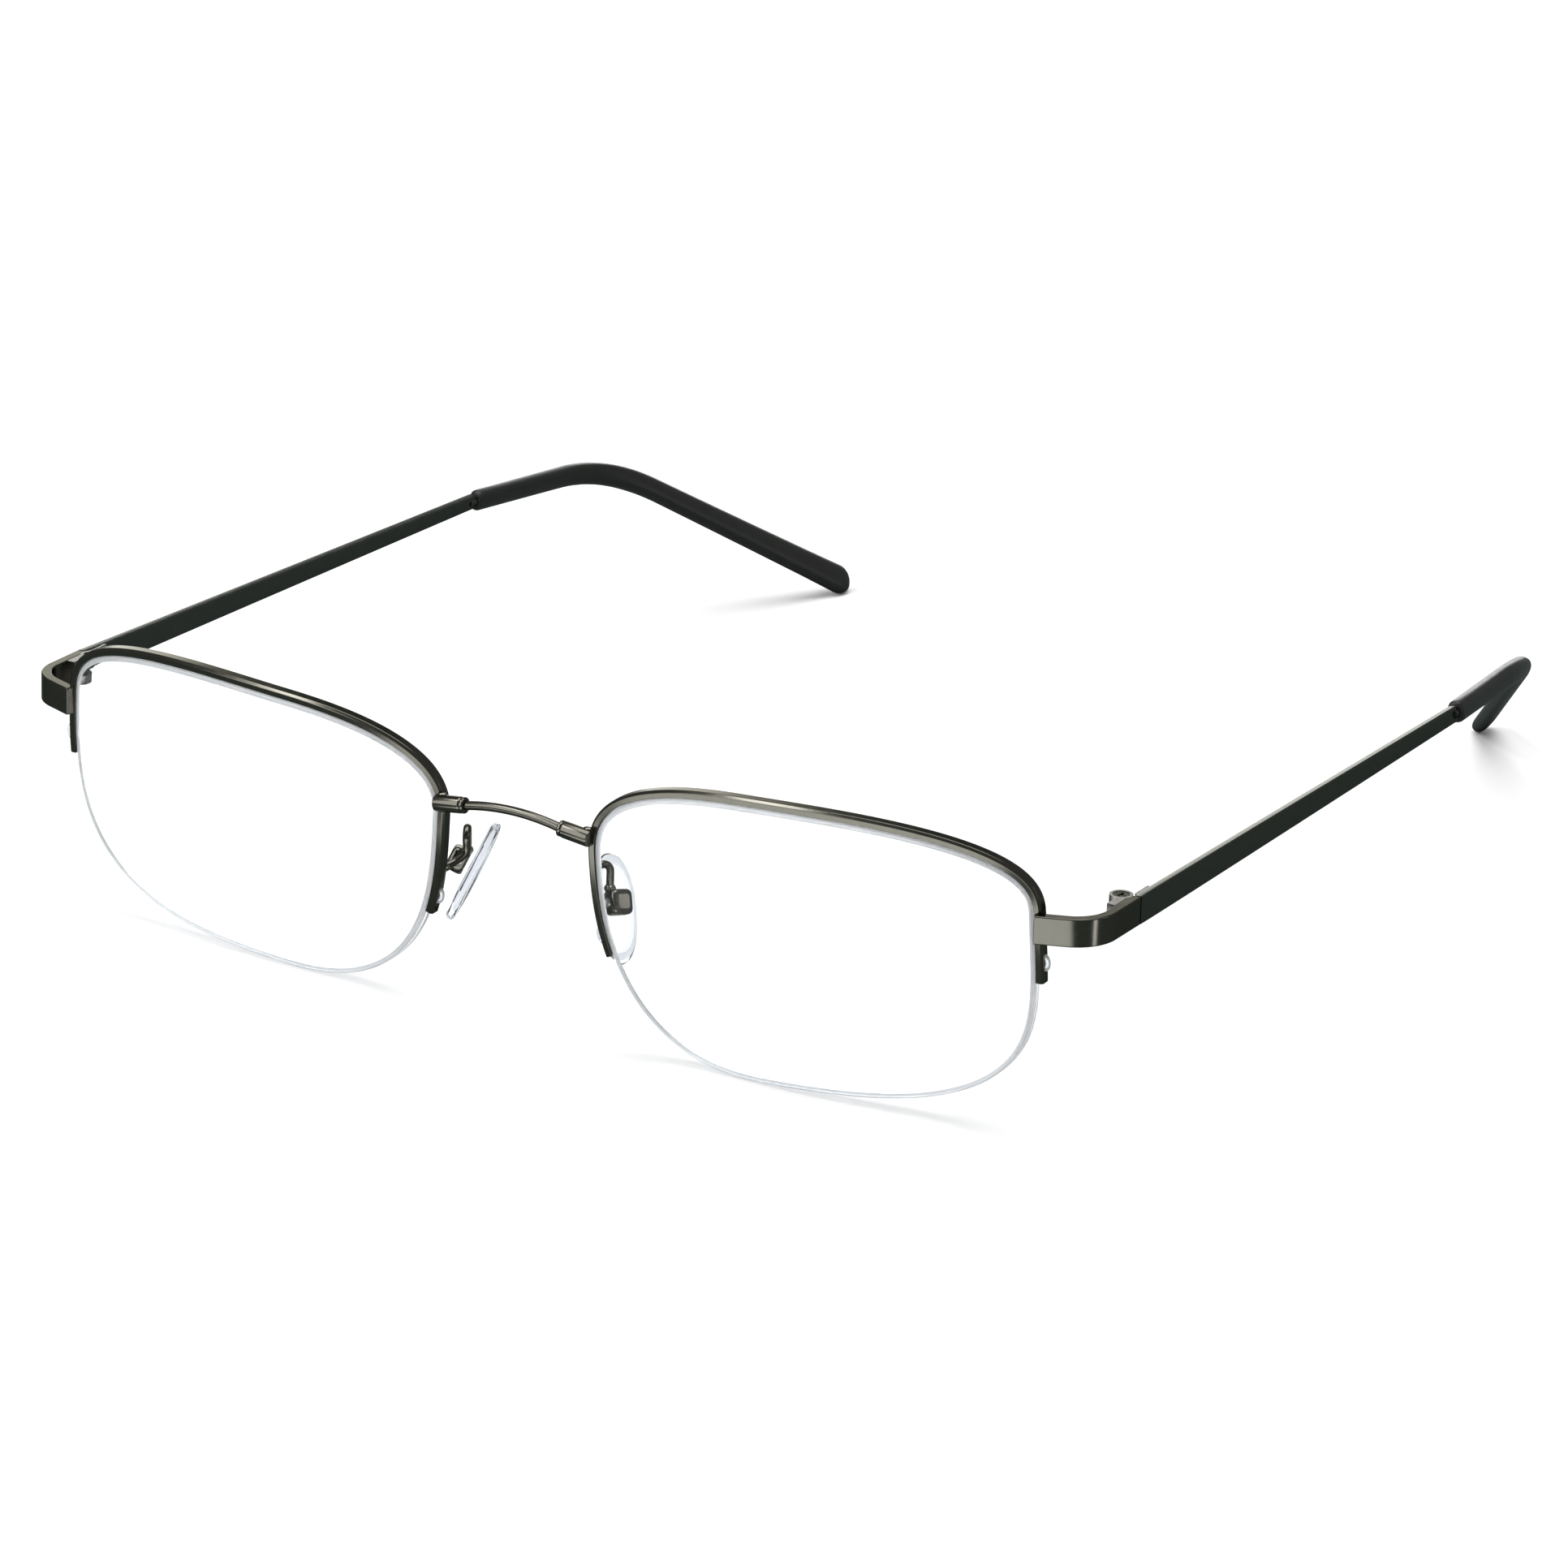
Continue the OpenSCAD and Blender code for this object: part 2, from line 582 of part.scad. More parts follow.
// Tip: a flat oval rod with a smooth bend down and inwards, and a round end
tip_bend_steps = 14;
function tip_ring(p, line, t, h, twist) =
    let (out = unit(cross(line, [0, 0, 1])), up = cross(out, line))
    [
        for (k = [0:tip_sides - 1])
            let (c = cos(360 * k / tip_sides), s = -sin(360 * k / tip_sides))
            let (e = pow(pow(abs(c), 2.6) + pow(abs(s), 2.6), -1 / 2.6))
            let (q = turned([t / 2 * c * e, h / 2 * s * e], twist))
            p + q[0] * out + q[1] * up
    ];
function tip_round(end, line) = [
    for (a = [0, 16, 32, 48, 64, 80])
        tip_ring(end - round_len * (1 - sin(a)) * line, line, tip_t * cos(a), tip_end_h * cos(a), -tip_twist)
];
module temple_tip() {
    first = knee - knee_reach * tip_line;
    last = knee + knee_reach * end_line;
    straight = norm(first - tip_start);
    tail = norm(tip_end - last);
    function bend(f) = (1 - f) * (1 - f) * first + 2 * f * (1 - f) * knee + f * f * last;
    function bend_line(f) = unit((1 - f) * tip_line + f * end_line);
    function twist(f) = temple_twist - f * (temple_twist + tip_twist);
    function height(f) = tip_start_h + f * f * (tip_end_h - tip_start_h);
    total = straight + 2 * knee_reach + tail;
    start_rings = [
        for (q = [[0, 0.82], [0.25, 1], [straight * 0.5, 1]])
            tip_ring(tip_start + q[0] * tip_line, tip_line, tip_t * q[1], height(q[0] / total) * q[1], temple_twist)
    ];
    bend_rings = [
        for (i = [0:tip_bend_steps])
            let (f = i / tip_bend_steps)
            tip_ring(bend(f), bend_line(f), tip_t, height((straight + 2 * knee_reach * f) / total), twist(f))
    ];
    halfway = (last + tip_end) / 2;
    tail_ring = tip_ring(halfway, end_line, tip_t, height(1 - tail / total / 2), -tip_twist);
    rings = concat(start_rings, bend_rings, [tail_ring], tip_round(tip_end, end_line));
    difference() {
        capped_skin(tip_start, rings, tip_end);
        along(tip_start, tip_line) translate([0, 0, -core_len]) cylinder(h = 2 * core_len + core_r, r = core_r + slip, $fn = 32);
    }
}

// Nose pad parts, built about the pad's middle: X away from the nose, Y back, Z up its length
pad_place = [pad_x, pad_y, lens_z - pad_down];
module pad_frame() translate(pad_place) rotate([-pad_pitch, -pad_flare, -pad_splay]) children();
box_d = 1.9;
box_w = 2.5;
box_h = 2.6;
box_gap = 0.4;
core_w = 0.7;
core_h = 1.4;
core_play = 0.2;
box_x = pad_t / 2 + box_gap;
screw_x = box_x + box_d * 0.45;
plate_t = pad_t * 0.35;
plate_w = 2.3;
plate_len = 5.2;
pad_head_r = pad_screw_r * 1.4;
pad_sides = 40;
function pad_ring(scale_by, x) = [
    for (k = [0:pad_sides - 1])
        let (p = quarter_point(-360 * k / pad_sides, pad_w * 0.45, pad_w * 0.55, pad_len / 2, pad_len / 2, [2.2, 2.3, 3.4, 2.5]))
        [x, scale_by * p[0], scale_by * p[1]]
];
module nose_pad() {
    t = pad_t / 2;
    shape = [[0.45, 1], [0.84, 1], [0.93, 0.86], [1, 0.4], [1, -0.3], [0.95, -0.68], [0.8, -0.92], [0.45, -1.08]];
    pad_frame() difference() {
        capped_skin([t, 0, 0], [for (q = shape) pad_ring(q[0], q[1] * t)], [-1.12 * t, 0, 0]);
        pad_plate(slip);
    }
}
module pad_plate(space) {
    deep = plate_t + space;
    wide = plate_w + 2 * space;
    long = plate_len + 2 * space;
    translate([pad_t / 2 - deep, -pad_screw_ahead - wide / 2, pad_screw_up - long / 2]) cube([deep + (space > 0 ? tiny : 0), wide, long]);
}
module pad_core() {
    tab_x = pad_t / 2 - plate_t;
    pad_frame() difference() {
        union() {
            pad_plate(0);
            translate([tab_x, -pad_screw_ahead - core_w / 2, pad_screw_up - core_h / 2])
                cube([screw_x - tab_x, core_w, core_h]);
            translate([screw_x, core_w / 2 - pad_screw_ahead, pad_screw_up]) rotate([90, 0, 0])
                cylinder(h = core_w, r = core_h / 2, $fn = 40);
        }
        translate([screw_x, core_w, pad_screw_up]) rotate([90, 0, 0])
            cylinder(h = 4 * core_w, r = pad_screw_r + hinge_space, $fn = 32);
    }
}
module pad_box() {
    hollow_w = core_w + 2 * joint_gap;
    hollow_x = screw_x + core_h / 2 + joint_gap - box_x;
    hollow_h = box_h + core_h / 2 + core_play;
    slot_w = hollow_w * 0.4;
    soft = box_d * 0.22;
    head_deep = pad_screw_r + slip;
    pad_frame() translate([0, -pad_screw_ahead, pad_screw_up]) difference() {
        union() {
            translate([box_x, -box_w / 2, -box_h / 2]) cube([box_d - soft, box_w, box_h]);
            translate([box_x, -box_w / 2 + soft, -box_h / 2]) cube([box_d, box_w - 2 * soft, box_h]);
            for (y = [-1, 1]) translate([box_x + box_d - soft, y * (box_w / 2 - soft), -box_h / 2])
                cylinder(h = box_h, r = soft, $fn = 32);
        }
        translate([box_x - tiny, -hollow_w / 2, -box_h]) cube([hollow_x, hollow_w, hollow_h]);
        translate([box_x, -hollow_w / 2, -box_h]) cube([2 * box_d, slot_w, hollow_h]);
        translate([screw_x, box_w, 0]) rotate([90, 0, 0]) cylinder(h = 2 * box_w, r = pad_screw_r + slip, $fn = 32);
        translate([screw_x, -box_w / 2 + head_deep, 0]) rotate([90, 0, 0])
            cylinder(h = box_w, r = pad_head_r + slip, $fn = 32);
    }
}
module pad_screw() {
    slot = pad_screw_r * 0.4;
    pad_frame() translate([screw_x, -pad_screw_ahead, pad_screw_up]) difference() {
        union() {
            translate([0, box_w / 2 + slot, 0]) rotate([90, 0, 0]) cylinder(h = box_w, r = pad_screw_r, $fn = 32);
            translate([0, -box_w / 2 + pad_screw_r, 0]) rotate([90, 0, 0])
                cylinder(h = pad_screw_r * 1.3, r = pad_head_r, $fn = 32);
        }
        translate([-slot / 2, -box_w, -pad_screw_r]) cube([slot, box_w / 2 + slot, 2 * pad_screw_r]);
    }
}

// Pad arm: a wire loop from the back of the rim over to the top of the pad box
arm_foot = 195;
arm_steps = 12;
arm_sides = 10;
module pad_arm() {
    foot = rim_place(arm_foot, rim_in + rim_w * 0.7, rim_d + arm_d * 0.05);
    seat = [box_x + box_d * 0.35, -pad_screw_ahead - box_w * 0.27, pad_screw_up + box_h / 2];
    head = pad_place + pad_turned(seat - [0, 0, arm_d * 0.15]);
    neck = pad_place + pad_turned(seat + [0, 0, arm_d * 0.5]);
    across = [cos(arm_turn), sin(arm_turn), 0];
    top = lens_z - loop_down;
    middle = [neck[0], neck[1], top] - across * arm_span / 2;
    loop = [
        for (i = [0:arm_steps])
            let (a = 180 - 180 * i / arm_steps)
            middle + arm_span / 2 * (cos(a) * across + [0, 0, sin(a)])
    ];
    near = [loop[0][0], loop[0][1], (top + foot[2]) / 2];
    path = concat([foot, (foot + near) / 2 + [0, arm_d / 4, -arm_d / 4], near], loop, [neck, head]);
    skin(wire_rings(path, [across[1], -across[0], 0], arm_d / 2, arm_sides));
}
function turn_x(p, a) = [p[0], p[1] * cos(a) - p[2] * sin(a), p[1] * sin(a) + p[2] * cos(a)];
function turn_y(p, a) = [p[0] * cos(a) + p[2] * sin(a), p[1], p[2] * cos(a) - p[0] * sin(a)];
function turn_z(p, a) = [p[0] * cos(a) - p[1] * sin(a), p[0] * sin(a) + p[1] * cos(a), p[2]];
function pad_turned(p) = turn_z(turn_y(turn_x(p, -pad_pitch), -pad_flare), -pad_splay);

color(metal) bridge_wire();
color(metal) side(-1) bridge_sleeve();  // left_bridge_sleeve
color(metal) side(1) bridge_sleeve();  // right_bridge_sleeve
color(metal) side(-1) eyewire();  // left_eyewire
color(metal) side(1) eyewire();  // right_eyewire
color(milk) side(-1) rim_liner();  // left_rim_liner
color(milk) side(1) rim_liner();  // right_rim_liner
color(clear) side(-1) lens();  // left_lens
color(clear) side(1) lens();  // right_lens
color(milk) side(-1) lens_cord();  // left_lens_cord
color(milk) side(1) lens_cord();  // right_lens_cord
color(metal) side(-1) endpiece();  // left_endpiece
color(metal) side(1) endpiece();  // right_endpiece
color(metal) side(-1) front_hinge();  // left_front_hinge
color(metal) side(1) front_hinge();  // right_front_hinge
color(steel) side(-1) hinge_screw();  // left_hinge_screw
color(steel) side(1) hinge_screw();  // right_hinge_screw
color(metal) side(-1) temple_hinge();  // left_temple_hinge
color(metal) side(1) temple_hinge();  // right_temple_hinge
color(metal) side(-1) temple();  // left_temple
color(metal) side(1) temple();  // right_temple
color(black) side(-1) temple_tip();  // left_temple_tip
color(black) side(1) temple_tip();  // right_temple_tip
color(metal) side(-1) pad_arm();  // left_pad_arm
color(metal) side(1) pad_arm();  // right_pad_arm
color(metal) side(-1) pad_box();  // left_pad_box
color(metal) side(1) pad_box();  // right_pad_box
color(steel) side(-1) pad_screw();  // left_pad_screw
color(steel) side(1) pad_screw();  // right_pad_screw
color(milk) side(-1) pad_core();  // left_pad_core
color(milk) side(1) pad_core();  // right_pad_core
color(clear) side(-1) nose_pad();  // left_nose_pad
color(clear) side(1) nose_pad();  // right_nose_pad
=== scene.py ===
# %% [markdown]
# # Half-rim reading glasses
# A pair of glasses is a good first lesson in hard surfaces: thin plated wire,
# two clear lenses, and a few tiny fittings that carry everything. The packed
# model gives the exact solids. Here each visible piece gets smoother curves,
# rounded edges and a finish, and stays exactly where its solid is.

# %% Load the frame
import json
import math
import bmesh
import bpy
import numpy as np
from mathutils import Matrix, Vector


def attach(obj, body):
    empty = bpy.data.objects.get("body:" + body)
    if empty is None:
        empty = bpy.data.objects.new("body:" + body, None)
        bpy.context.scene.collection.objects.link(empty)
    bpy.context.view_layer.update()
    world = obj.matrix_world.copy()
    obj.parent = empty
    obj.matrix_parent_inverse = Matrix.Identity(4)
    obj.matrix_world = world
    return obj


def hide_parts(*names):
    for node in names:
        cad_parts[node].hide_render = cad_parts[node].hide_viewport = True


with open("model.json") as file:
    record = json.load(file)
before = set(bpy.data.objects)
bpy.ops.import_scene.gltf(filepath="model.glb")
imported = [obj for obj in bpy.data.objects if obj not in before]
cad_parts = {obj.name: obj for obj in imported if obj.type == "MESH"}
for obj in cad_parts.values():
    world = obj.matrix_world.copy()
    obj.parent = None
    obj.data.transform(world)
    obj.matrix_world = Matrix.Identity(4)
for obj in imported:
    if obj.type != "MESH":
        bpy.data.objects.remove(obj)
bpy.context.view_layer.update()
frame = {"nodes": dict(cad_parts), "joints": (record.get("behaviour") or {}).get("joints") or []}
MM = 0.001
SIDES = (("left", -1), ("right", 1))

# %% [markdown]
# The camera comes first, so that every later choice is made for a known view.
# It stands to the front and right, looks down a little, and has a long lens,
# as product pictures do: that keeps the far temple from looking much smaller.
# The three axes of the camera are built from its heading, its height and a
# slight roll, and become the columns of its rotation.

# %% Camera
CAMERA_PLACE = Vector((0.39438, -0.70302, 0.29989))
CAMERA_HEADING = math.radians(29.83)
CAMERA_DOWN = math.radians(20.07)
CAMERA_ROLL = math.radians(1.85)
CAMERA_LENS, SENSOR_WIDTH = 182.5, 36
NEAREST_SEEN, FARTHEST_SEEN = 0.05, 20


def add_object(name, data):
    made = bpy.data.objects.new(name, data)
    bpy.context.scene.collection.objects.link(made)
    return made


def make_camera():
    heading, down = CAMERA_HEADING, CAMERA_DOWN
    ahead = Vector((-math.sin(heading) * math.cos(down), math.cos(heading) * math.cos(down), -math.sin(down)))
    level = Vector((math.cos(heading), math.sin(heading), 0))
    over = level.cross(ahead)
    right = math.cos(CAMERA_ROLL) * level + math.sin(CAMERA_ROLL) * over
    up = right.cross(ahead)
    data = bpy.data.cameras.new("camera")
    data.lens = CAMERA_LENS
    data.sensor_width = SENSOR_WIDTH
    data.clip_start = NEAREST_SEEN
    data.clip_end = FARTHEST_SEEN
    camera = add_object("camera", data)
    turn = Matrix((right, up, -ahead)).transposed()
    camera.matrix_world = Matrix.Translation(CAMERA_PLACE) @ turn.to_4x4()
    return camera


bpy.context.scene.camera = make_camera()
print("camera", [round(v, 3) for v in CAMERA_PLACE], "lens", CAMERA_LENS)

# %% [markdown]
# The lens outline drives the whole front. It is four quarter curves with their
# own reach and squareness, like a rectangle drawn with soft corners. Rim, lens,
# liner and cord all follow it, so one function keeps them together. Sizes are
# in millimetres, as on the drawing of the real thing.

# %% The lens outline
LENS_GAP = 18.8
LENS_IN, LENS_OUT = 19, 28.5
LENS_UP, LENS_DOWN = 8.6, 21.8
LENS_TURN = math.radians(3.1)
SQUARE_TOP_OUT, SQUARE_TOP_IN, SQUARE_LOW_IN, SQUARE_LOW_OUT = 2.35, 2.4, 2.6, 3.6
FRONT_R, BACK_R = 71, 80
LENS_THICK = 2.1
TANGENT_STEP = 0.5
FRONT_TILT, FRONT_WRAP = math.radians(1.6), math.radians(1.1)


def quarter_point(degrees, reach_in, reach_out, reach_up, reach_down, squares):
    c, s = math.cos(math.radians(degrees)), math.sin(math.radians(degrees))
    if c > 0:
        square = squares[0] if s > 0 else squares[3]
    else:
        square = squares[1] if s > 0 else squares[2]
    r = (abs(c) ** square + abs(s) ** square) ** (-1 / square)
    return (reach_out if c > 0 else reach_in) * c * r, (reach_up if s > 0 else reach_down) * s * r


def turned(x, y, angle):
    return x * math.cos(angle) - y * math.sin(angle), x * math.sin(angle) + y * math.cos(angle)


def lens_point(degrees):
    squares = (SQUARE_TOP_OUT, SQUARE_TOP_IN, SQUARE_LOW_IN, SQUARE_LOW_OUT)
    x, z = quarter_point(degrees, LENS_IN, LENS_OUT, LENS_UP, LENS_DOWN, squares)
    return np.array(turned(x, z, LENS_TURN))


def lens_offset(degrees, out):
    along = lens_point(degrees + TANGENT_STEP) - lens_point(degrees - TANGENT_STEP)
    outwards = np.array((along[1], -along[0])) / np.hypot(*along)
    return lens_point(degrees) + out * outwards


def sag(point, radius):
    return radius - math.sqrt(radius * radius - point[0] ** 2 - point[1] ** 2)


def front_depth(point):
    return sag(point, FRONT_R)


def back_depth(point):
    return LENS_THICK + sag(point, BACK_R)


def leaned(x, y, z):
    x, y = turned(x, y, FRONT_WRAP)
    y, z = turned(y, z, FRONT_TILT)
    return np.array((x, y, z))


print("lens", LENS_IN + LENS_OUT, "by", round(LENS_UP + LENS_DOWN, 1), "mm")

# %% [markdown]
# The front is drawn about the lens centre, then moved to where it stands. The
# lowest point of the lens edge is at height zero, because the glasses stand on
# it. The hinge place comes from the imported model, and gives how far the
# drawing is moved forward.

# %% Where the front stands
LOWER_HALF = range(180, 362, 2)
lens_floor = [leaned(p[0], front_depth(p), p[1])[2] for p in map(lens_point, LOWER_HALF)]
LENS_Z = -min(lens_floor)
LENS_X = LENS_GAP / 2 + LENS_IN
RIM_W, RIM_D, RIM_GAP, RIM_FLAT = 0.8, 1.3, 0.1, 0.24
RIM_OUT = RIM_GAP + RIM_W
STRIP_H, STRIP_T, STRIP_UP, STRIP_OUT, STRIP_BACK = 2.95, 1.1, 2.0, 5.8, 9.9
HINGE_AHEAD = 0.35


def rim_place(degrees, out, depth):
    x, z = lens_offset(degrees, out)
    y = front_depth(lens_point(degrees)) + depth
    return np.array((LENS_X, 0, LENS_Z)) + leaned(x, y, z)


outer_seat = rim_place(0, RIM_OUT, 0)
seam_drawn = outer_seat[1] + STRIP_BACK
joints = {j["name"]: j for j in frame["joints"]}
hinge_place = np.array(joints["right_temple_fold"]["pos_m"]) / MM
FORWARD = hinge_place[1] - (seam_drawn - HINGE_AHEAD)
print("lens centre height", round(LENS_Z, 3), "moved forward by", round(-FORWARD, 3))

# %% [markdown]
# Every shape is a skin over rings of points: a wire, a rim and a tip differ
# only in the ring. One helper joins the rings, one closes the ends round a
# middle point, one makes the object. Faces are smooth, and edges sharper than a
# set angle stay crisp, so that a flat strip and a round wire can use the same
# helper. The drawing is for the right side, and the left side is its mirror
# image.

# %% Mesh helpers
CRISP = math.radians(38)


def ring_faces(rings, around):
    faces = []
    for i in range(rings - 1):
        for j in range(around):
            a, b = i * around + j, i * around + (j + 1) % around
            faces.append((a, b, b + around, a + around))
    return faces


def fan_faces(rings, around):
    last, front, back = (rings - 1) * around, rings * around, rings * around + 1
    faces = []
    for k in range(around):
        after = (k + 1) % around
        faces.append((after, k, front))
        faces.append((last + k, last + after, back))
    return faces


def mark_rings(piece, rings, around, slot):
    for ring in rings:
        for i in range(ring * around, (ring + 1) * around):
            piece.data.polygons[i].material_index = slot


def make_piece(name, points, faces, side=1, crisp=CRISP):
    placed = [(side * p[0] * MM, (p[1] + FORWARD) * MM, p[2] * MM) for p in points]
    mesh = bpy.data.meshes.new(name)
    mesh.from_pydata(placed, [], faces)
    shape = bmesh.new()
    shape.from_mesh(mesh)
    bmesh.ops.recalc_face_normals(shape, faces=shape.faces)
    shape.to_mesh(mesh)
    shape.free()
    mesh.polygons.foreach_set("use_smooth", [True] * len(mesh.polygons))
    mesh.set_sharp_from_angle(angle=crisp)
    return add_object(name, mesh)


def skin(name, rings, side=1, crisp=CRISP):
    around = len(rings[0])
    points = [p for ring in rings for p in ring]
    last = (len(rings) - 1) * around
    ends = [tuple(range(around)), tuple(range(last + around - 1, last - 1, -1))]
    return make_piece(name, points, ring_faces(len(rings), around) + ends, side, crisp)


def round_edges(piece, width, segments=3, angle=CRISP):
    bevel = piece.modifiers.new("rounded edges", "BEVEL")
    bevel.width = width * MM
    bevel.segments = segments
    bevel.limit_method = "ANGLE"
    bevel.angle_limit = angle
    bevel.harden_normals = True
    return piece


def unit(v):
    return np.array(v) / np.linalg.norm(v)


def circle(middle, radius, u, v, around):
    angles = [math.tau * k / around for k in range(around)]
    return [middle + radius * (math.cos(a) * u + math.sin(a) * v) for a in angles]


def wire_rings(path, radius, around, across):
    path = np.array(path, float)
    rings = []
    for i, p in enumerate(path):
        along = unit(path[min(i + 1, len(path) - 1)] - path[max(i - 1, 0)])
        u = unit(np.cross(along, across))
        rings.append(circle(p, radius, u, np.cross(along, u), around))
    return rings


def smooth_path(points, steps):
    points = [np.array(p, float) for p in points]
    points = [2 * points[0] - points[1]] + points + [2 * points[-1] - points[-2]]
    path = []
    for a, b, c, d in zip(points, points[1:], points[2:], points[3:]):
        for i in range(steps):
            f = i / steps
            path.append(0.5 * (2 * b + (c - a) * f + (2 * a - 5 * b + 4 * c - d) * f ** 2
                               + (3 * b - a - 3 * c + d) * f ** 3))
    return path + [points[-2]]


def finish_piece(piece, body, material, slot, *nodes):
    for m in material if isinstance(material, tuple) else (material,):
        piece.data.materials.append(m)
    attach(piece, body)
    if nodes:
        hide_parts(*nodes)


# %% [markdown]
# Plated metal is never one even tone: the plating is a little uneven, and fine
# scratches from polishing spread each highlight. Both are needed in several
# finishes, so they are one node group with named inputs. It reads the object's
# own coordinates, so the pattern stays with a piece that moves, and puts out a
# mask for the tone and a height for the scratches.

# %% Shared effect: fine surface
def add_noise(tree, detail):
    noise = tree.nodes.new("ShaderNodeTexNoise")
    noise.inputs["Detail"].default_value = detail
    return noise


def fine_surface_group():
    group = bpy.data.node_groups.new("fine surface", "ShaderNodeTree")
    for name, start in (("Patch Scale", 900), ("Scratch Scale", 9000), ("Scratch Length", 12)):
        socket = group.interface.new_socket(name, in_out="INPUT", socket_type="NodeSocketFloat")
        socket.default_value = start
    for name in ("Patches", "Scratches"):
        group.interface.new_socket(name, in_out="OUTPUT", socket_type="NodeSocketFloat")
    start, end = group.nodes.new("NodeGroupInput"), group.nodes.new("NodeGroupOutput")
    place = group.nodes.new("ShaderNodeTexCoord")
    patches = add_noise(group, detail=3)
    scratches = add_noise(group, detail=2)
    divide = group.nodes.new("ShaderNodeMath")
    divide.operation = "DIVIDE"
    divide.inputs[0].default_value = 1
    squeeze = group.nodes.new("ShaderNodeCombineXYZ")
    squeeze.inputs["X"].default_value = 1
    squeeze.inputs["Z"].default_value = 1
    stretch = group.nodes.new("ShaderNodeVectorMath")
    stretch.operation = "MULTIPLY"
    link = group.links.new
    link(start.outputs["Patch Scale"], patches.inputs["Scale"])
    link(place.outputs["Object"], patches.inputs["Vector"])
    link(start.outputs["Scratch Length"], divide.inputs[1])
    link(divide.outputs[0], squeeze.inputs["Y"])
    link(place.outputs["Object"], stretch.inputs[0])
    link(squeeze.outputs[0], stretch.inputs[1])
    link(stretch.outputs[0], scratches.inputs["Vector"])
    link(start.outputs["Scratch Scale"], scratches.inputs["Scale"])
    link(patches.outputs[0], end.inputs["Patches"])
    link(scratches.outputs[0], end.inputs["Scratches"])
    return group


FINE_SURFACE = fine_surface_group()
print("shared effect", FINE_SURFACE.name)

# %% [markdown]
# One recipe makes every metal here. The patches choose between two close tones
# and vary the roughness, and the scratches give a faint bump. The base colour
# is dark with a slight olive cast, as black nickel over steel is. Its bright
# faces come from what it mirrors, not from the colour. Hinge and screws keep
# the paler tone of steel, apart from the blackened hinge screw.

# %% Metal finishes
FINE_BUMP = 0.01 * MM
SCRATCH_DEPTH, SCRATCH_LENGTH = 0.25, 12
SATIN_TINT = (0.5, 0.5, 0.48, 1)


def start_finish(name):
    made = bpy.data.materials.new(name)
    made.use_nodes = True
    return made, made.node_tree.nodes["Principled BSDF"]


def fine_surface(tree, patch_scale, scratch_length=SCRATCH_LENGTH):
    surface = tree.nodes.new("ShaderNodeGroup")
    surface.node_tree = FINE_SURFACE
    surface.inputs["Patch Scale"].default_value = patch_scale
    surface.inputs["Scratch Length"].default_value = scratch_length
    return surface


def two_tones(tree, surface, dark, light):
    tone = tree.nodes.new("ShaderNodeMix")
    tone.data_type = "RGBA"
    tone.inputs["A"].default_value = (*dark, 1)
    tone.inputs["B"].default_value = (*light, 1)
    tree.links.new(surface.outputs["Patches"], tone.inputs["Factor"])
    tree.links.new(tone.outputs["Result"], tree.nodes["Principled BSDF"].inputs["Base Color"])


def vary_roughness(tree, surface, rough):
    spread = tree.nodes.new("ShaderNodeMapRange")
    spread.inputs["To Min"].default_value, spread.inputs["To Max"].default_value = rough
    tree.links.new(surface.outputs["Patches"], spread.inputs["Value"])
    tree.links.new(spread.outputs["Result"], tree.nodes["Principled BSDF"].inputs["Roughness"])


def fine_bump(tree, height, depth):
    bump = tree.nodes.new("ShaderNodeBump")
    bump.inputs["Strength"].default_value = depth
    bump.inputs["Distance"].default_value = FINE_BUMP
    tree.links.new(height, bump.inputs["Height"])
    tree.links.new(bump.outputs["Normal"], tree.nodes["Principled BSDF"].inputs["Normal"])


def metal(name, dark, light, rough, patch_scale=900, scratch_length=SCRATCH_LENGTH):
    made, shader = start_finish(name)
    tree = made.node_tree
    shader.inputs["Metallic"].default_value = 1
    shader.inputs["Specular Tint"].default_value = SATIN_TINT
    surface = fine_surface(tree, patch_scale, scratch_length)
    two_tones(tree, surface, dark, light)
    vary_roughness(tree, surface, rough)
    fine_bump(tree, surface.outputs["Scratches"], SCRATCH_DEPTH)
    return made


GUNMETAL = metal("gunmetal", (0.085, 0.083, 0.072), (0.11, 0.106, 0.09), (0.13, 0.22))
TEMPLE_METAL = metal(
    "temple gunmetal", (0.1, 0.104, 0.099), (0.125, 0.13, 0.124), (0.18, 0.28), scratch_length=30)
SOLDER = metal("brazed metal", (0.12, 0.115, 0.1), (0.2, 0.19, 0.165), (0.1, 0.2), patch_scale=2500)
SCREW_STEEL = metal("screw steel", (0.48, 0.47, 0.44), (0.62, 0.61, 0.57), (0.18, 0.3), patch_scale=2000)
DARK_STEEL = metal(
    "blackened steel", (0.05, 0.05, 0.045), (0.09, 0.088, 0.08), (0.16, 0.28), patch_scale=2000)
HINGE_STEEL = metal("hinge steel", (0.2, 0.195, 0.185), (0.32, 0.31, 0.295), (0.2, 0.32), patch_scale=1500)
METALS = (GUNMETAL, TEMPLE_METAL, SOLDER, SCREW_STEEL, DARK_STEEL, HINGE_STEEL)
print("metals", [m.name for m in METALS])
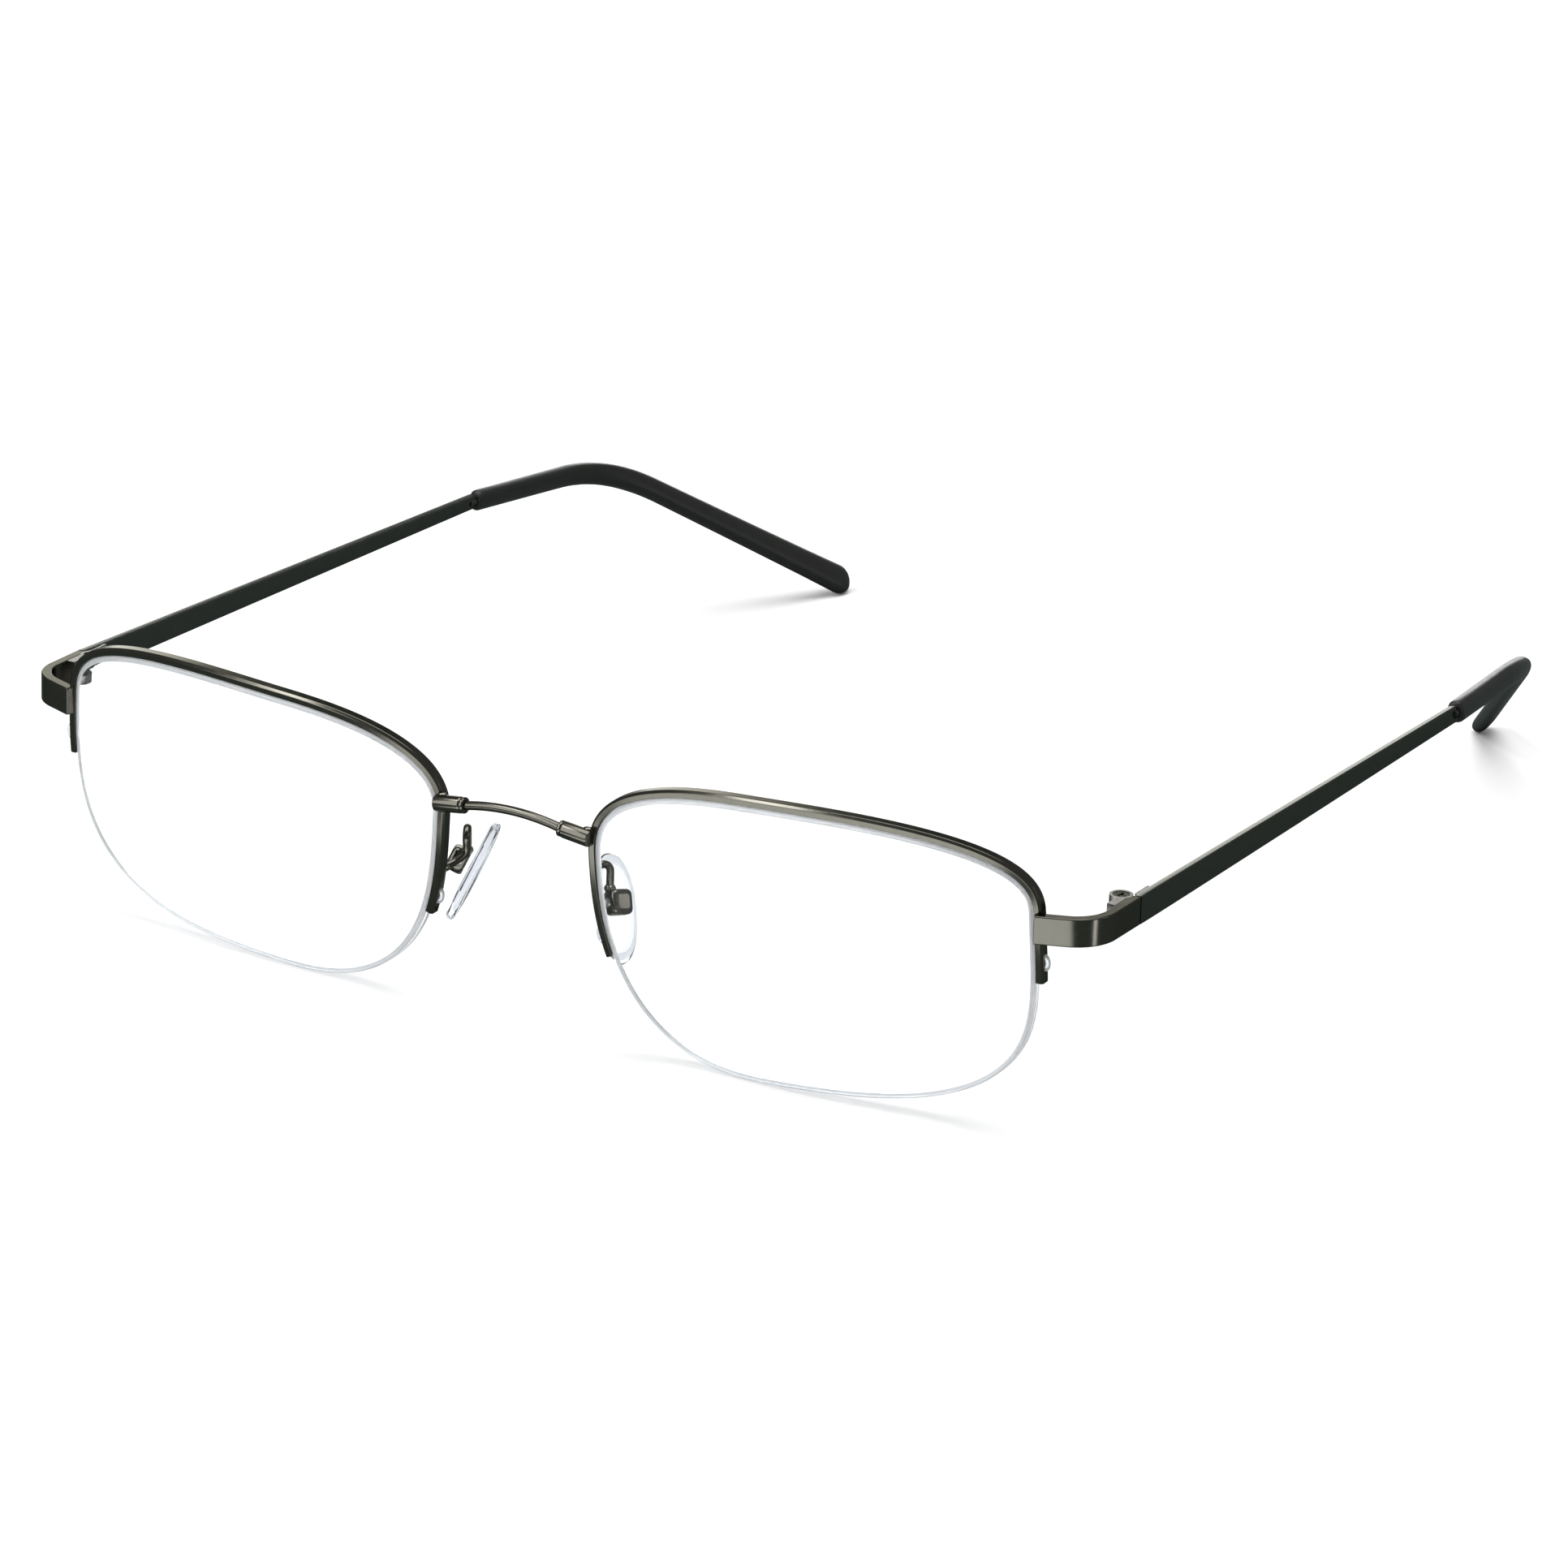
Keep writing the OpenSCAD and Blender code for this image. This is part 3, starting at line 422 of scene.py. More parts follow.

# %% [markdown]
# Clear plastic is glass to Blender: full transmission, with roughness for how
# polished it is. The lens has three finishes, polished faces, a ground edge
# and the bevels beside it. The bevels are grey: painted shade that draws the
# thin dark lines which make a lens visible on white. A lamp's light would stop
# at glass, so a transparent shader that only shadow rays see lets it through,
# and its colour sets how dark the shadow is. The lens faces carry an
# antireflective coat, so they mirror little, and they fade out where one looks
# along them. The core inside a pad is of the same plastic. Blender counts each
# surface against air, so a refraction close to 1 makes the core's border
# vanish, as it does in the real pad.

# %% Clear finishes
def clear(
    name, colour, rough, refraction, transmission=1.0, patch_scale=1500, depth=0.1, mirror=1.0, shade=1.0
):
    made, shader = start_finish(name)
    tree = made.node_tree
    shader.inputs["Base Color"].default_value = (*colour, 1)
    shader.inputs["Transmission Weight"].default_value = transmission
    shader.inputs["Specular Tint"].default_value = (mirror, mirror, mirror, 1)
    shader.inputs["IOR"].default_value = refraction
    surface = fine_surface(tree, patch_scale)
    vary_roughness(tree, surface, rough)
    fine_bump(tree, surface.outputs["Patches"], depth)
    path = tree.nodes.new("ShaderNodeLightPath")
    through = tree.nodes.new("ShaderNodeBsdfTransparent")
    through.inputs["Color"].default_value = (*(shade * c for c in colour), 1)
    choose = tree.nodes.new("ShaderNodeMixShader")
    link = tree.links.new
    link(path.outputs["Is Shadow Ray"], choose.inputs["Fac"])
    link(shader.outputs["BSDF"], choose.inputs[1])
    link(through.outputs["BSDF"], choose.inputs[2])
    link(choose.outputs["Shader"], tree.nodes["Material Output"].inputs["Surface"])
    return made


def fade_at_grazing(made, start, end):
    tree = made.node_tree
    facing = tree.nodes.new("ShaderNodeLayerWeight")
    fade = tree.nodes.new("ShaderNodeMapRange")
    fade.inputs["From Min"].default_value = start
    fade.inputs["From Max"].default_value = end
    air = tree.nodes.new("ShaderNodeBsdfTransparent")
    seen = tree.nodes.new("ShaderNodeMixShader")
    link = tree.links.new
    link(facing.outputs["Facing"], fade.inputs["Value"])
    link(fade.outputs["Result"], seen.inputs["Fac"])
    link(tree.nodes["Principled BSDF"].outputs["BSDF"], seen.inputs[1])
    link(air.outputs["BSDF"], seen.inputs[2])
    link(seen.outputs["Shader"], tree.nodes["Mix Shader"].inputs[1])


LENS_IOR, NYLON_IOR, PAD_IOR, CORE_IOR = 1.5, 1.53, 1.43, 1.03
LENS_CLEAR = clear(
    "polished lens", (0.995, 1.0, 0.998), (0.0, 0.01), LENS_IOR,
    patch_scale=40, depth=0.0, mirror=0.15, shade=0.5)
fade_at_grazing(LENS_CLEAR, start=0.6, end=0.85)
LENS_EDGE = clear("ground lens edge", (0.96, 0.965, 0.975), (0.3, 0.5), LENS_IOR, transmission=0.8, shade=0.2)
# The grey of the bevels is painted shade for the thin dark lines at the lens edge.
LENS_BEVEL_PAINTED_SHADE = clear("lens bevel with painted shade", (0.6, 0.61, 0.63), (0.3, 0.45), LENS_IOR, transmission=0.3, shade=0.2)
CLEAR_NYLON = clear("clear nylon", (0.84, 0.87, 0.9), (0.1, 0.2), NYLON_IOR, transmission=0.75)
PAD_CLEAR = clear("clear pad", (0.96, 0.97, 0.98), (0.02, 0.06), PAD_IOR, patch_scale=500, depth=0.4)
# The greyer blue of the pad edge is painted shade for the outline of the drop.
PAD_EDGE_PAINTED_SHADE = clear("pad edge with painted shade", (0.66, 0.69, 0.74), (0.0, 0.12), PAD_IOR, patch_scale=420, depth=1.0)
PAD_CORE = clear("moulded-in core", (0.97, 0.98, 0.99), (0.05, 0.12), CORE_IOR, patch_scale=500)
CLEAR_FINISHES = (LENS_CLEAR, LENS_EDGE, LENS_BEVEL_PAINTED_SHADE, CLEAR_NYLON, PAD_CLEAR, PAD_EDGE_PAINTED_SHADE, PAD_CORE)
print("clear finishes", [m.name for m in CLEAR_FINISHES])

# %% [markdown]
# The tips are moulded black plastic with a satin skin. Fine moulding texture
# breaks up the reflections, so the roughness is fairly high and the bump small.
# The same helpers as for metal give it its tones, roughness and bump.

# %% Black plastic
BLACK, GREYER_BLACK = (0.008, 0.0092, 0.008), (0.013, 0.0148, 0.013)
SATIN, PLASTIC_SHINE, PLASTIC_BUMP = (0.34, 0.46), 0.35, 0.3
PLASTIC_PATCHES, PLASTIC_SCRATCHES = 700, 1


def satin_plastic():
    made, shader = start_finish("black plastic")
    tree = made.node_tree
    shader.inputs["Specular IOR Level"].default_value = PLASTIC_SHINE
    surface = fine_surface(tree, PLASTIC_PATCHES, PLASTIC_SCRATCHES)
    two_tones(tree, surface, BLACK, GREYER_BLACK)
    vary_roughness(tree, surface, SATIN)
    fine_bump(tree, surface.outputs["Scratches"], PLASTIC_BUMP)
    return made


BLACK_PLASTIC = satin_plastic()
print("plastic", BLACK_PLASTIC.name)

# %% [markdown]
# The rim is a drawn wire with a groove inside for the liner. It follows the
# lens outline over the top only, and stops half way down each side. Steps are
# spaced by length along the outline rather than by angle, so they stay even
# round the corners. Its front outer corner is cut by a narrow slope that
# catches the light as one bright line.

# %% Rims
TRACE_FROM, TRACE_TO, TRACE_STEP = -90, 393, 3
TRACE = list(range(TRACE_FROM, TRACE_TO, TRACE_STEP))
trace_steps = [np.hypot(*(lens_point(b) - lens_point(a))) for a, b in zip(TRACE, TRACE[1:])]
TRACE_RUN = np.concatenate(([0], np.cumsum(trace_steps)))
RIM_END_OUT, RIM_END_IN = -18.4, 208
GROOVE_W = 0.6
RIM_GROOVE_D = 0.3
RIM_STEPS = 200
RIM_ROUND = 0.05
FLAT_CRISP = math.radians(25)


def run_at(degrees):
    return float(np.interp(degrees, TRACE, TRACE_RUN))


def angle_at(run):
    return float(np.interp(run, TRACE_RUN, TRACE))


def make_rim(name, side):
    low, high = RIM_D / 2 - GROOVE_W / 2, RIM_D / 2 + GROOVE_W / 2
    deep = RIM_GAP + RIM_GROOVE_D
    soft = RIM_FLAT / 2
    section = [
        (RIM_GAP, 0), (RIM_OUT - RIM_FLAT, 0), (RIM_OUT, RIM_FLAT), (RIM_OUT, RIM_D - soft),
        (RIM_OUT - soft, RIM_D), (RIM_GAP, RIM_D), (RIM_GAP, high), (deep, high), (deep, low), (RIM_GAP, low)
    ]
    runs = np.linspace(run_at(RIM_END_OUT), run_at(RIM_END_IN), RIM_STEPS + 1)
    rings = [[rim_place(angle_at(run), out, depth) for out, depth in section] for run in runs]
    return round_edges(skin(name, rings, side, FLAT_CRISP), RIM_ROUND, segments=2)


for side_name, side in SIDES:
    rim = make_rim(side_name + "_rim", side)
    finish_piece(rim, "front", GUNMETAL, "gunmetal", side_name + "_eyewire")
    rim_length = run_at(RIM_END_IN) - run_at(RIM_END_OUT)
    print(rim.name, "steps", RIM_STEPS, "length", round(rim_length, 1), "mm")

# %% [markdown]
# A lens is a thin meniscus: both faces are parts of spheres, the front one
# rounder, so the edge is a little thinner than the middle. The edge is ground,
# with small safety bevels and a groove all round. Faces, edge and bevels are
# one mesh with three materials, so light that enters the face meets the ground
# edge from inside, as in the real lens.

# %% Lenses
LENS_AROUND = 240
LENS_RINGS = 14
SAFETY = 0.18
GROOVE_D = 0.6
LENS_CRISP = math.radians(30)
FACE_SLOT, EDGE_SLOT, BEVEL_SHADE_SLOT = 0, 1, 2


def lens_place(x, z, depth):
    return np.array((LENS_X, 0, LENS_Z)) + leaned(x, depth, z)


def make_lens(name, side):
    angles = [360 * k / LENS_AROUND for k in range(LENS_AROUND)]
    edge = [lens_point(a) for a in angles]
    low, high = RIM_D / 2 - GROOVE_W / 2, RIM_D / 2 + GROOVE_W / 2
    shrinks = [(i + 1) / LENS_RINGS for i in range(LENS_RINGS - 1)]
    inset = [lens_offset(a, -SAFETY) for a in angles]
    rings = [[lens_place(s * p[0], s * p[1], front_depth(s * p)) for p in edge] for s in shrinks]
    rings.append([lens_place(p[0], p[1], front_depth(p)) for p in inset])
    first_edge = len(rings) - 1
    profile = [(0, SAFETY), (0, low), (-GROOVE_D, low), (-GROOVE_D, high), (0, high)]
    for out, depth in profile:
        rings.append([lens_place(*lens_offset(a, out), front_depth(lens_point(a)) + depth) for a in angles])
    rings.append([lens_place(p[0], p[1], back_depth(p) - SAFETY) for p in edge])
    rings.append([lens_place(p[0], p[1], back_depth(p)) for p in inset])
    last_edge = len(rings) - 1
    rings += [[lens_place(s * p[0], s * p[1], back_depth(s * p)) for p in edge] for s in reversed(shrinks)]
    points = [p for ring in rings for p in ring]
    points += [lens_place(0, 0, 0), lens_place(0, 0, LENS_THICK)]
    faces = ring_faces(len(rings), LENS_AROUND) + fan_faces(len(rings), LENS_AROUND)
    piece = make_piece(name, points, faces, side, LENS_CRISP)
    mark_rings(piece, range(first_edge, last_edge), LENS_AROUND, EDGE_SLOT)
    mark_rings(piece, (first_edge, last_edge - 1), LENS_AROUND, BEVEL_SHADE_SLOT)
    return piece


for side_name, side in SIDES:
    lens = make_lens(side_name + "_lens_piece", side)
    finish_piece(lens, "front", (LENS_CLEAR, LENS_EDGE, LENS_BEVEL_PAINTED_SHADE), "lens", side_name + "_lens")
    ground = sum(f.material_index != FACE_SLOT for f in lens.data.polygons)
    print(lens.name, "faces", len(lens.data.polygons), "of which ground", ground)

# %% [markdown]
# A clear nylon cord holds the lens from below. It lies in the lens groove, and
# at each end it passes out through one hole of the rim and back in through the
# next, where it is held by its own tightness. It is one smooth tube along
# that whole route. The clear liner in the rim has the same finish.

# %% Cords
CORD_D = 0.5
CORD_HOLE_AT, CORD_HOLE_STEP = 1.5, 1.3
CORD_LIFT = 0.32
CORD_SLIP = 0.03
CORD_SOFT = CORD_D * 0.6
CORD_STEPS, CORD_AROUND = 120, 14
DIP_ANGLES, OVER_ANGLES = range(0, 91, 15), range(0, 181, 12)
cord_seat = CORD_D / 2 + CORD_SLIP - GROOVE_D


def cord_loop(near, far):
    half, middle, way = abs(far - near) / 2, (near + far) / 2, math.copysign(1, far - near)
    route = []
    for degrees in DIP_ANGLES:
        a = math.radians(degrees)
        route.append((near + way * CORD_SOFT * (math.sin(a) - 1), cord_seat + CORD_SOFT * (1 - math.cos(a))))
    for degrees in OVER_ANGLES:
        a = math.radians(degrees)
        route.append((middle - way * half * math.cos(a), RIM_OUT + CORD_LIFT * math.sin(a)))
    return route + [(far, cord_seat)]


def make_cord(name, side):
    start, end = run_at(RIM_END_IN), run_at(RIM_END_OUT + 360)
    leave = CORD_HOLE_AT + CORD_HOLE_STEP
    in_loop = cord_loop(start - CORD_HOLE_AT, start - leave)
    out_loop = cord_loop(end + CORD_HOLE_AT, end + leave)
    below = np.linspace(in_loop[0][0], out_loop[0][0], CORD_STEPS + 1)[1:-1]
    route = in_loop[::-1] + [(run, cord_seat) for run in below] + out_loop
    path = [rim_place(angle_at(run), out, RIM_D / 2) for run, out in route]
    length = sum(np.linalg.norm(b - a) for a, b in zip(path, path[1:]))
    return skin(name, wire_rings(path, CORD_D / 2, CORD_AROUND, (0, 1, 0)), side), length


for side_name, side in SIDES:
    cord, cord_length = make_cord(side_name + "_cord", side)
    finish_piece(cord, "front", CLEAR_NYLON, "clear_nylon", side_name + "_lens_cord")
    frame["nodes"][side_name + "_rim_liner"].material_slots[0].material = CLEAR_NYLON
    print(cord.name, "length", round(cord_length, 1), "mm")

# %% [markdown]
# The bridge is a thin wire that arches from one lens to the other. Each end
# sits in a thicker sleeve, and the sleeve is brazed across the front of the
# rim. A sleeve is turned: a straight barrel, and at its mouth a short lip. Both
# have rounded ends, and the rounding is left unfinished where they meet, which
# makes a fine groove between them.

# %% Bridge
BRIDGE_D, BRIDGE_RISE = 0.95, 0.6
SLEEVE_D, SLEEVE_LEN, SLEEVE_UP, SLEEVE_SEAT = 1.75, 3.6, 0.85, 0.35
SLEEVE_OVER = RIM_W * 0.2
SLEEVE_SLOPE = math.radians(7)
BRIDGE_STEPS, BRIDGE_AROUND, SLEEVE_AROUND, ROUND_STEPS = 48, 24, 40, 6
BRIDGE_INSIDE = SLEEVE_LEN * 0.6
LIP_AT, LIP_R = SLEEVE_LEN * 0.86, SLEEVE_D / 2 * 0.97
BARREL_ROUND, LIP_ROUND = SLEEVE_D * 0.06, SLEEVE_D * 0.1
GROOVE_RINGS = 3
nose_seat = rim_place(180 - math.degrees(LENS_TURN), RIM_GAP, 0)
sleeve_y = nose_seat[1] - SLEEVE_D / 2 + SLEEVE_SEAT
sleeve_end = np.array((nose_seat[0] - SLEEVE_OVER, sleeve_y, LENS_Z + SLEEVE_UP))
sleeve_line = np.array((-math.cos(SLEEVE_SLOPE), 0, math.sin(SLEEVE_SLOPE)))
sleeve_mouth = sleeve_end + SLEEVE_LEN * sleeve_line


def turned_rings(start, line, profile):
    u = unit(np.cross(line, (0, 1, 0)))
    v = np.cross(line, u)
    return [circle(start + along * line, radius, u, v, SLEEVE_AROUND) for along, radius in profile]


def rounded_profile(length, radius, soft):
    profile = []
    for i in range(ROUND_STEPS + 1):
        a = math.pi / 2 * i / ROUND_STEPS
        profile.append((soft * (1 - math.cos(a)), radius - soft * (1 - math.sin(a))))
    return profile + [(length - along, r) for along, r in reversed(profile)]


def sleeve_profile():
    barrel = rounded_profile(LIP_AT, SLEEVE_D / 2, BARREL_ROUND)
    lip = rounded_profile(SLEEVE_LEN - LIP_AT, LIP_R, LIP_ROUND)
    return barrel[:-GROOVE_RINGS] + [(LIP_AT + along, radius) for along, radius in lip[GROOVE_RINGS:]]


def make_bridge():
    a = sleeve_mouth[0]
    xs = np.linspace(-a, a, BRIDGE_STEPS + 1)
    arch = [(x, sleeve_mouth[1], sleeve_mouth[2] + BRIDGE_RISE * (1 - x * x / (a * a))) for x in xs]
    inside = BRIDGE_INSIDE * sleeve_line
    right = (sleeve_mouth[0] - inside[0], sleeve_mouth[1], sleeve_mouth[2] - inside[2])
    left = (-right[0], right[1], right[2])
    path = [left] + arch + [right]
    return skin("bridge_wire_piece", wire_rings(path, BRIDGE_D / 2, BRIDGE_AROUND, (0, 1, 0)))


finish_piece(make_bridge(), "front", GUNMETAL, "gunmetal", "bridge_wire")
for side_name, side in SIDES:
    sleeve = skin(side_name + "_sleeve", turned_rings(sleeve_end, sleeve_line, sleeve_profile()), side)
    finish_piece(sleeve, "front", GUNMETAL, "gunmetal", side_name + "_bridge_sleeve")
print("bridge", round(2 * sleeve_mouth[0], 2), "mm between sleeves of", SLEEVE_LEN, "mm")

# %% [markdown]
# Brazing leaves a small smooth fillet where two pieces meet. Each fillet here
# is a squashed ball sunk into the joint, so only its skirt shows. Without them
# the sleeves and wire arms look as if they were pushed into the rim.

# %% Brazed fillets
SLEEVE_BRAZE = (0.55, 0.4, 0.3)
BRAZE_IN, BRAZE_BACK, BRAZE_UP = 0.5, SLEEVE_D * 0.2, SLEEVE_D * 0.43


def make_fillet(name, place, size, side):
    ball = bmesh.new()
    bmesh.ops.create_icosphere(ball, subdivisions=3, radius=1)
    points = [place + np.array(v.co) * np.array(size) for v in ball.verts]
    faces = [tuple(v.index for v in f.verts) for f in ball.faces]
    ball.free()
    return make_piece(name, points, faces, side)


for side_name, side in SIDES:
    for name, up in (("upper", 1), ("lower", -1)):
        place = sleeve_end + sleeve_line * BRAZE_IN + np.array((0, BRAZE_BACK, up * BRAZE_UP))
        fillet = make_fillet(side_name + "_" + name + "_bridge_fillet", place, SLEEVE_BRAZE, side)
        finish_piece(fillet, "front", SOLDER, "gunmetal")
print("fillets at the sleeves", SLEEVE_BRAZE, "mm")

# %% [markdown]
# The endpiece carries the temple. It is a flat strip, brazed flat to the outer
# side of the rim, that turns through almost a right angle. It is drawn as an
# outline from above and given its height, then its edges are rounded.

# %% Endpieces
BEND_R = 4.8
STRIP_SLOPE = math.radians(21)
STRIP_SEAT, STRIP_AHEAD = 0.35, STRIP_T * 0.75
BEND_STEPS = 48
STRIP_ROUND = 0.14
strip_top = LENS_Z + STRIP_UP
strip_low = strip_top - STRIP_H
strip_mid = (strip_top + strip_low) / 2
face_x = outer_seat[0] + STRIP_OUT


def strip_outline():
    arc_x = face_x - BEND_R
    start_x = outer_seat[0] - STRIP_SEAT
    bend_x = arc_x + BEND_R * math.sin(STRIP_SLOPE)
    start_y = outer_seat[1] - STRIP_AHEAD
    arc_y = start_y + (bend_x - start_x) * math.tan(STRIP_SLOPE) + BEND_R * math.cos(STRIP_SLOPE)
    angles = np.linspace(STRIP_SLOPE - math.pi / 2, 0, BEND_STEPS + 1)
    outer, inner = (
        [(arc_x + r * math.cos(a), arc_y + r * math.sin(a)) for a in angles]
        for r in (BEND_R, BEND_R - STRIP_T)
    )
    seam = [(face_x, seam_drawn), (face_x - STRIP_T, seam_drawn)]
    back_start = (start_x - STRIP_T * math.sin(STRIP_SLOPE), start_y + STRIP_T * math.cos(STRIP_SLOPE))
    return [(start_x, start_y)] + outer + seam + inner[::-1] + [back_start]


def make_endpiece(name, side):
    outline = strip_outline()
    rings = [[(x, y, z) for x, y in outline] for z in (strip_low, strip_top)]
    return round_edges(skin(name, rings, side, FLAT_CRISP), STRIP_ROUND)


for side_name, side in SIDES:
    endpiece = make_endpiece(side_name + "_endpiece_strip", side)
    finish_piece(endpiece, "front", GUNMETAL, "gunmetal", side_name + "_endpiece")
    print(endpiece.name, "bend radius", BEND_R, "mm")

# %% [markdown]
# Knuckles, leaves, hinge screws and pad cores come from the model as exact
# solids. Real ones are tumbled after machining, so no edge is razor sharp. A
# weld, a planar clean-up and a bevel round their edges without touching the
# solids themselves, because modifiers leave the mesh as it is. The hinges show
# bare steel, and their screws are blackened.

# %% Hinges
WELD_GAP = 0.002
PLANAR_ANGLE, ROUNDED_ANGLE = math.radians(1), math.radians(40)
SOFTENED = (
    ("_front_hinge", 0.1, HINGE_STEEL), ("_temple_hinge", 0.06, HINGE_STEEL),
    ("_hinge_screw", 0.05, DARK_STEEL), ("_pad_core", 0.05, PAD_CORE)
)


def soften_node(name, width, material):
    solid = frame["nodes"][name]
    solid.material_slots[0].material = material
    weld = solid.modifiers.new("weld", "WELD")
    weld.merge_threshold = WELD_GAP * MM
    planar = solid.modifiers.new("planar", "DECIMATE")
    planar.decimate_type = "DISSOLVE"
    planar.angle_limit = PLANAR_ANGLE
    round_edges(solid, width, angle=ROUNDED_ANGLE)


for side_name, side in SIDES:
    for part, width, material in SOFTENED:
        soften_node(side_name + part, width, material)
        print("softened", side_name + part, "by", width, "mm")

# %% [markdown]
# The temple is a flat spring strip. It is as high as the endpiece at the hinge,
# narrows towards the back, and twists a little, so its top edge leans inwards.
# It ends in a round core wire that the tip is pushed onto.

# %% Temples
TEMPLE_LEN, TEMPLE_T, TEMPLE_END_H = 73.8, 0.8, 1.7
TOE_IN, DROP = 1.5, 1.4
TEMPLE_TWIST = math.radians(13)
SEAM_GAP = 0.1
CORE_R, NECK_LEN = 0.6, 0.6
TEMPLE_STEPS, CORNER_STEPS = 60, 4
TEMPLE_SOFT = TEMPLE_T * 0.14
temple_start = np.array((face_x - TEMPLE_T / 2, seam_drawn + SEAM_GAP, strip_mid))
temple_end = temple_start + np.array((-TOE_IN, TEMPLE_LEN, -DROP))


def strip_section(t, h, soft):
    corners = []
    for sx, sz, start in ((1, 1, 0), (-1, 1, 90), (-1, -1, 180), (1, -1, 270)):
        for i in range(CORNER_STEPS + 1):
            a = math.radians(start + 90 * i / CORNER_STEPS)
            x, z = sx * (t / 2 - soft), sz * (h / 2 - soft)
            corners.append((x + soft * math.cos(a), z + soft * math.sin(a)))
    return corners


def make_temple(name, side):
    rings = []
    for i in range(TEMPLE_STEPS + 1):
        f = i / TEMPLE_STEPS
        middle = temple_start + f * (temple_end - temple_start)
        section = strip_section(TEMPLE_T, STRIP_H + f * (TEMPLE_END_H - STRIP_H), TEMPLE_SOFT)
        corners = [turned(x, z, math.sqrt(f) * TEMPLE_TWIST) for x, z in section]
        rings.append([middle + np.array((x, 0, z)) for x, z in corners])
    return skin(name, rings, side)


for side_name, side in SIDES:
    temple = make_temple(side_name + "_temple_strip", side)
    finish_piece(temple, side_name + "_arm", TEMPLE_METAL, "gunmetal", side_name + "_temple")
    print(temple.name, "length", TEMPLE_LEN, "mm")

# %% [markdown]
# The tip is an oval rod of moulded plastic, slid over the core wire. It bends
# down behind the ear and turns inwards. The bend is a curve drawn towards the
# knee point, and the flat oval twists along it and grows taller towards its
# rounded end. A short taper makes the collar where it starts.

# %% Tips
TIP_T, TIP_START_H, TIP_END_H = 1.8, 2.4, 3.7
TIP_TWIST = math.radians(43)
KNEE_BACK, KNEE_IN, KNEE_DROP = 24.2, 2.7, 1.5
END_BACK, END_IN, KNEE_REACH = 27.6, 17.4, 8
ROUND_LEN = TIP_END_H * 0.5
TIP_AROUND, TIP_BEND_STEPS = 32, 32
TIP_SQUARE = 2.6
TIP_CRISP = math.radians(60)
COLLAR = ((0, 0.74), (0.05, 0.84), (0.25, 0.97), (0.5, 1))
STRAIGHT_STOPS, TAIL_STOPS = (0.3, 0.7), (0.25, 0.5, 0.75)
ROUND_PROBE, ROUND_ANGLES = range(0, 81, 16), range(0, 85, 7)
NECK_AROUND = 24
knee = temple_end + np.array((-KNEE_IN, KNEE_BACK, -KNEE_DROP))
tip_line = unit(knee - temple_end)
tip_start = temple_end + NECK_LEN * tip_line


def tip_ring(place, line, t, h, twist):
    out = unit(np.cross(line, (0, 0, 1)))
    up = np.cross(out, line)
    ring = []
    for k in range(TIP_AROUND):
        a = math.tau * k / TIP_AROUND
        c, s = math.cos(a), -math.sin(a)
        e = (abs(c) ** TIP_SQUARE + abs(s) ** TIP_SQUARE) ** (-1 / TIP_SQUARE)
        x, z = turned(t / 2 * c * e, h / 2 * s * e, twist)
        ring.append(place + x * out + z * up)
    return ring


def tip_round(end, line, angles):
    rings = []
    for degrees in angles:
        a = math.radians(degrees)
        place = end - ROUND_LEN * (1 - math.sin(a)) * line
        rings.append(tip_ring(place, line, TIP_T * math.cos(a), TIP_END_H * math.cos(a), -TIP_TWIST))
    return rings


end_guess = unit((-END_IN, END_BACK, TIP_END_H / 4 - knee[2]))
lowest = min(p[2] for ring in tip_round(np.zeros(3), end_guess, ROUND_PROBE) for p in ring)
tip_end = np.array((knee[0] - END_IN, knee[1] + END_BACK, -lowest))
end_line = unit(tip_end - knee)


def make_tip(name, side):
    first, last = knee - KNEE_REACH * tip_line, knee + KNEE_REACH * end_line
    straight, tail = np.linalg.norm(first - tip_start), np.linalg.norm(tip_end - last)
    total = straight + 2 * KNEE_REACH + tail

    def height(f):
        return TIP_START_H + f * f * (TIP_END_H - TIP_START_H)

    rings = []
    for run, size in COLLAR + tuple((straight * f, 1) for f in STRAIGHT_STOPS):
        place = tip_start + run * tip_line
        rings.append(tip_ring(place, tip_line, TIP_T * size, height(run / total) * size, TEMPLE_TWIST))
    for f in np.linspace(0, 1, TIP_BEND_STEPS + 1):
        place = (1 - f) ** 2 * first + 2 * f * (1 - f) * knee + f * f * last
        line = unit((1 - f) * tip_line + f * end_line)
        twist = TEMPLE_TWIST - f * (TEMPLE_TWIST + TIP_TWIST)
        rings.append(tip_ring(place, line, TIP_T, height((straight + 2 * KNEE_REACH * f) / total), twist))
    for f in TAIL_STOPS:
        place = last + f * (tip_end - last)
        rings.append(tip_ring(place, end_line, TIP_T, height(1 - tail * (1 - f) / total), -TIP_TWIST))
    rings += tip_round(tip_end, end_line, ROUND_ANGLES)
    return skin(name, rings, side, TIP_CRISP)


def make_neck(name, side):
    path = [temple_end - CORE_R * tip_line, temple_end + 2 * NECK_LEN * tip_line]
    return skin(name, wire_rings(path, CORE_R, NECK_AROUND, (0, 0, 1)), side)


for side_name, side in SIDES:
    tip = make_tip(side_name + "_tip", side)
    finish_piece(tip, side_name + "_arm", BLACK_PLASTIC, "black_tip", side_name + "_temple_tip")
    finish_piece(make_neck(side_name + "_neck", side), side_name + "_arm", TEMPLE_METAL, "gunmetal")
    print(tip.name, "ends at height", round(min(v.co.z for v in tip.data.vertices) / MM, 3), "mm")
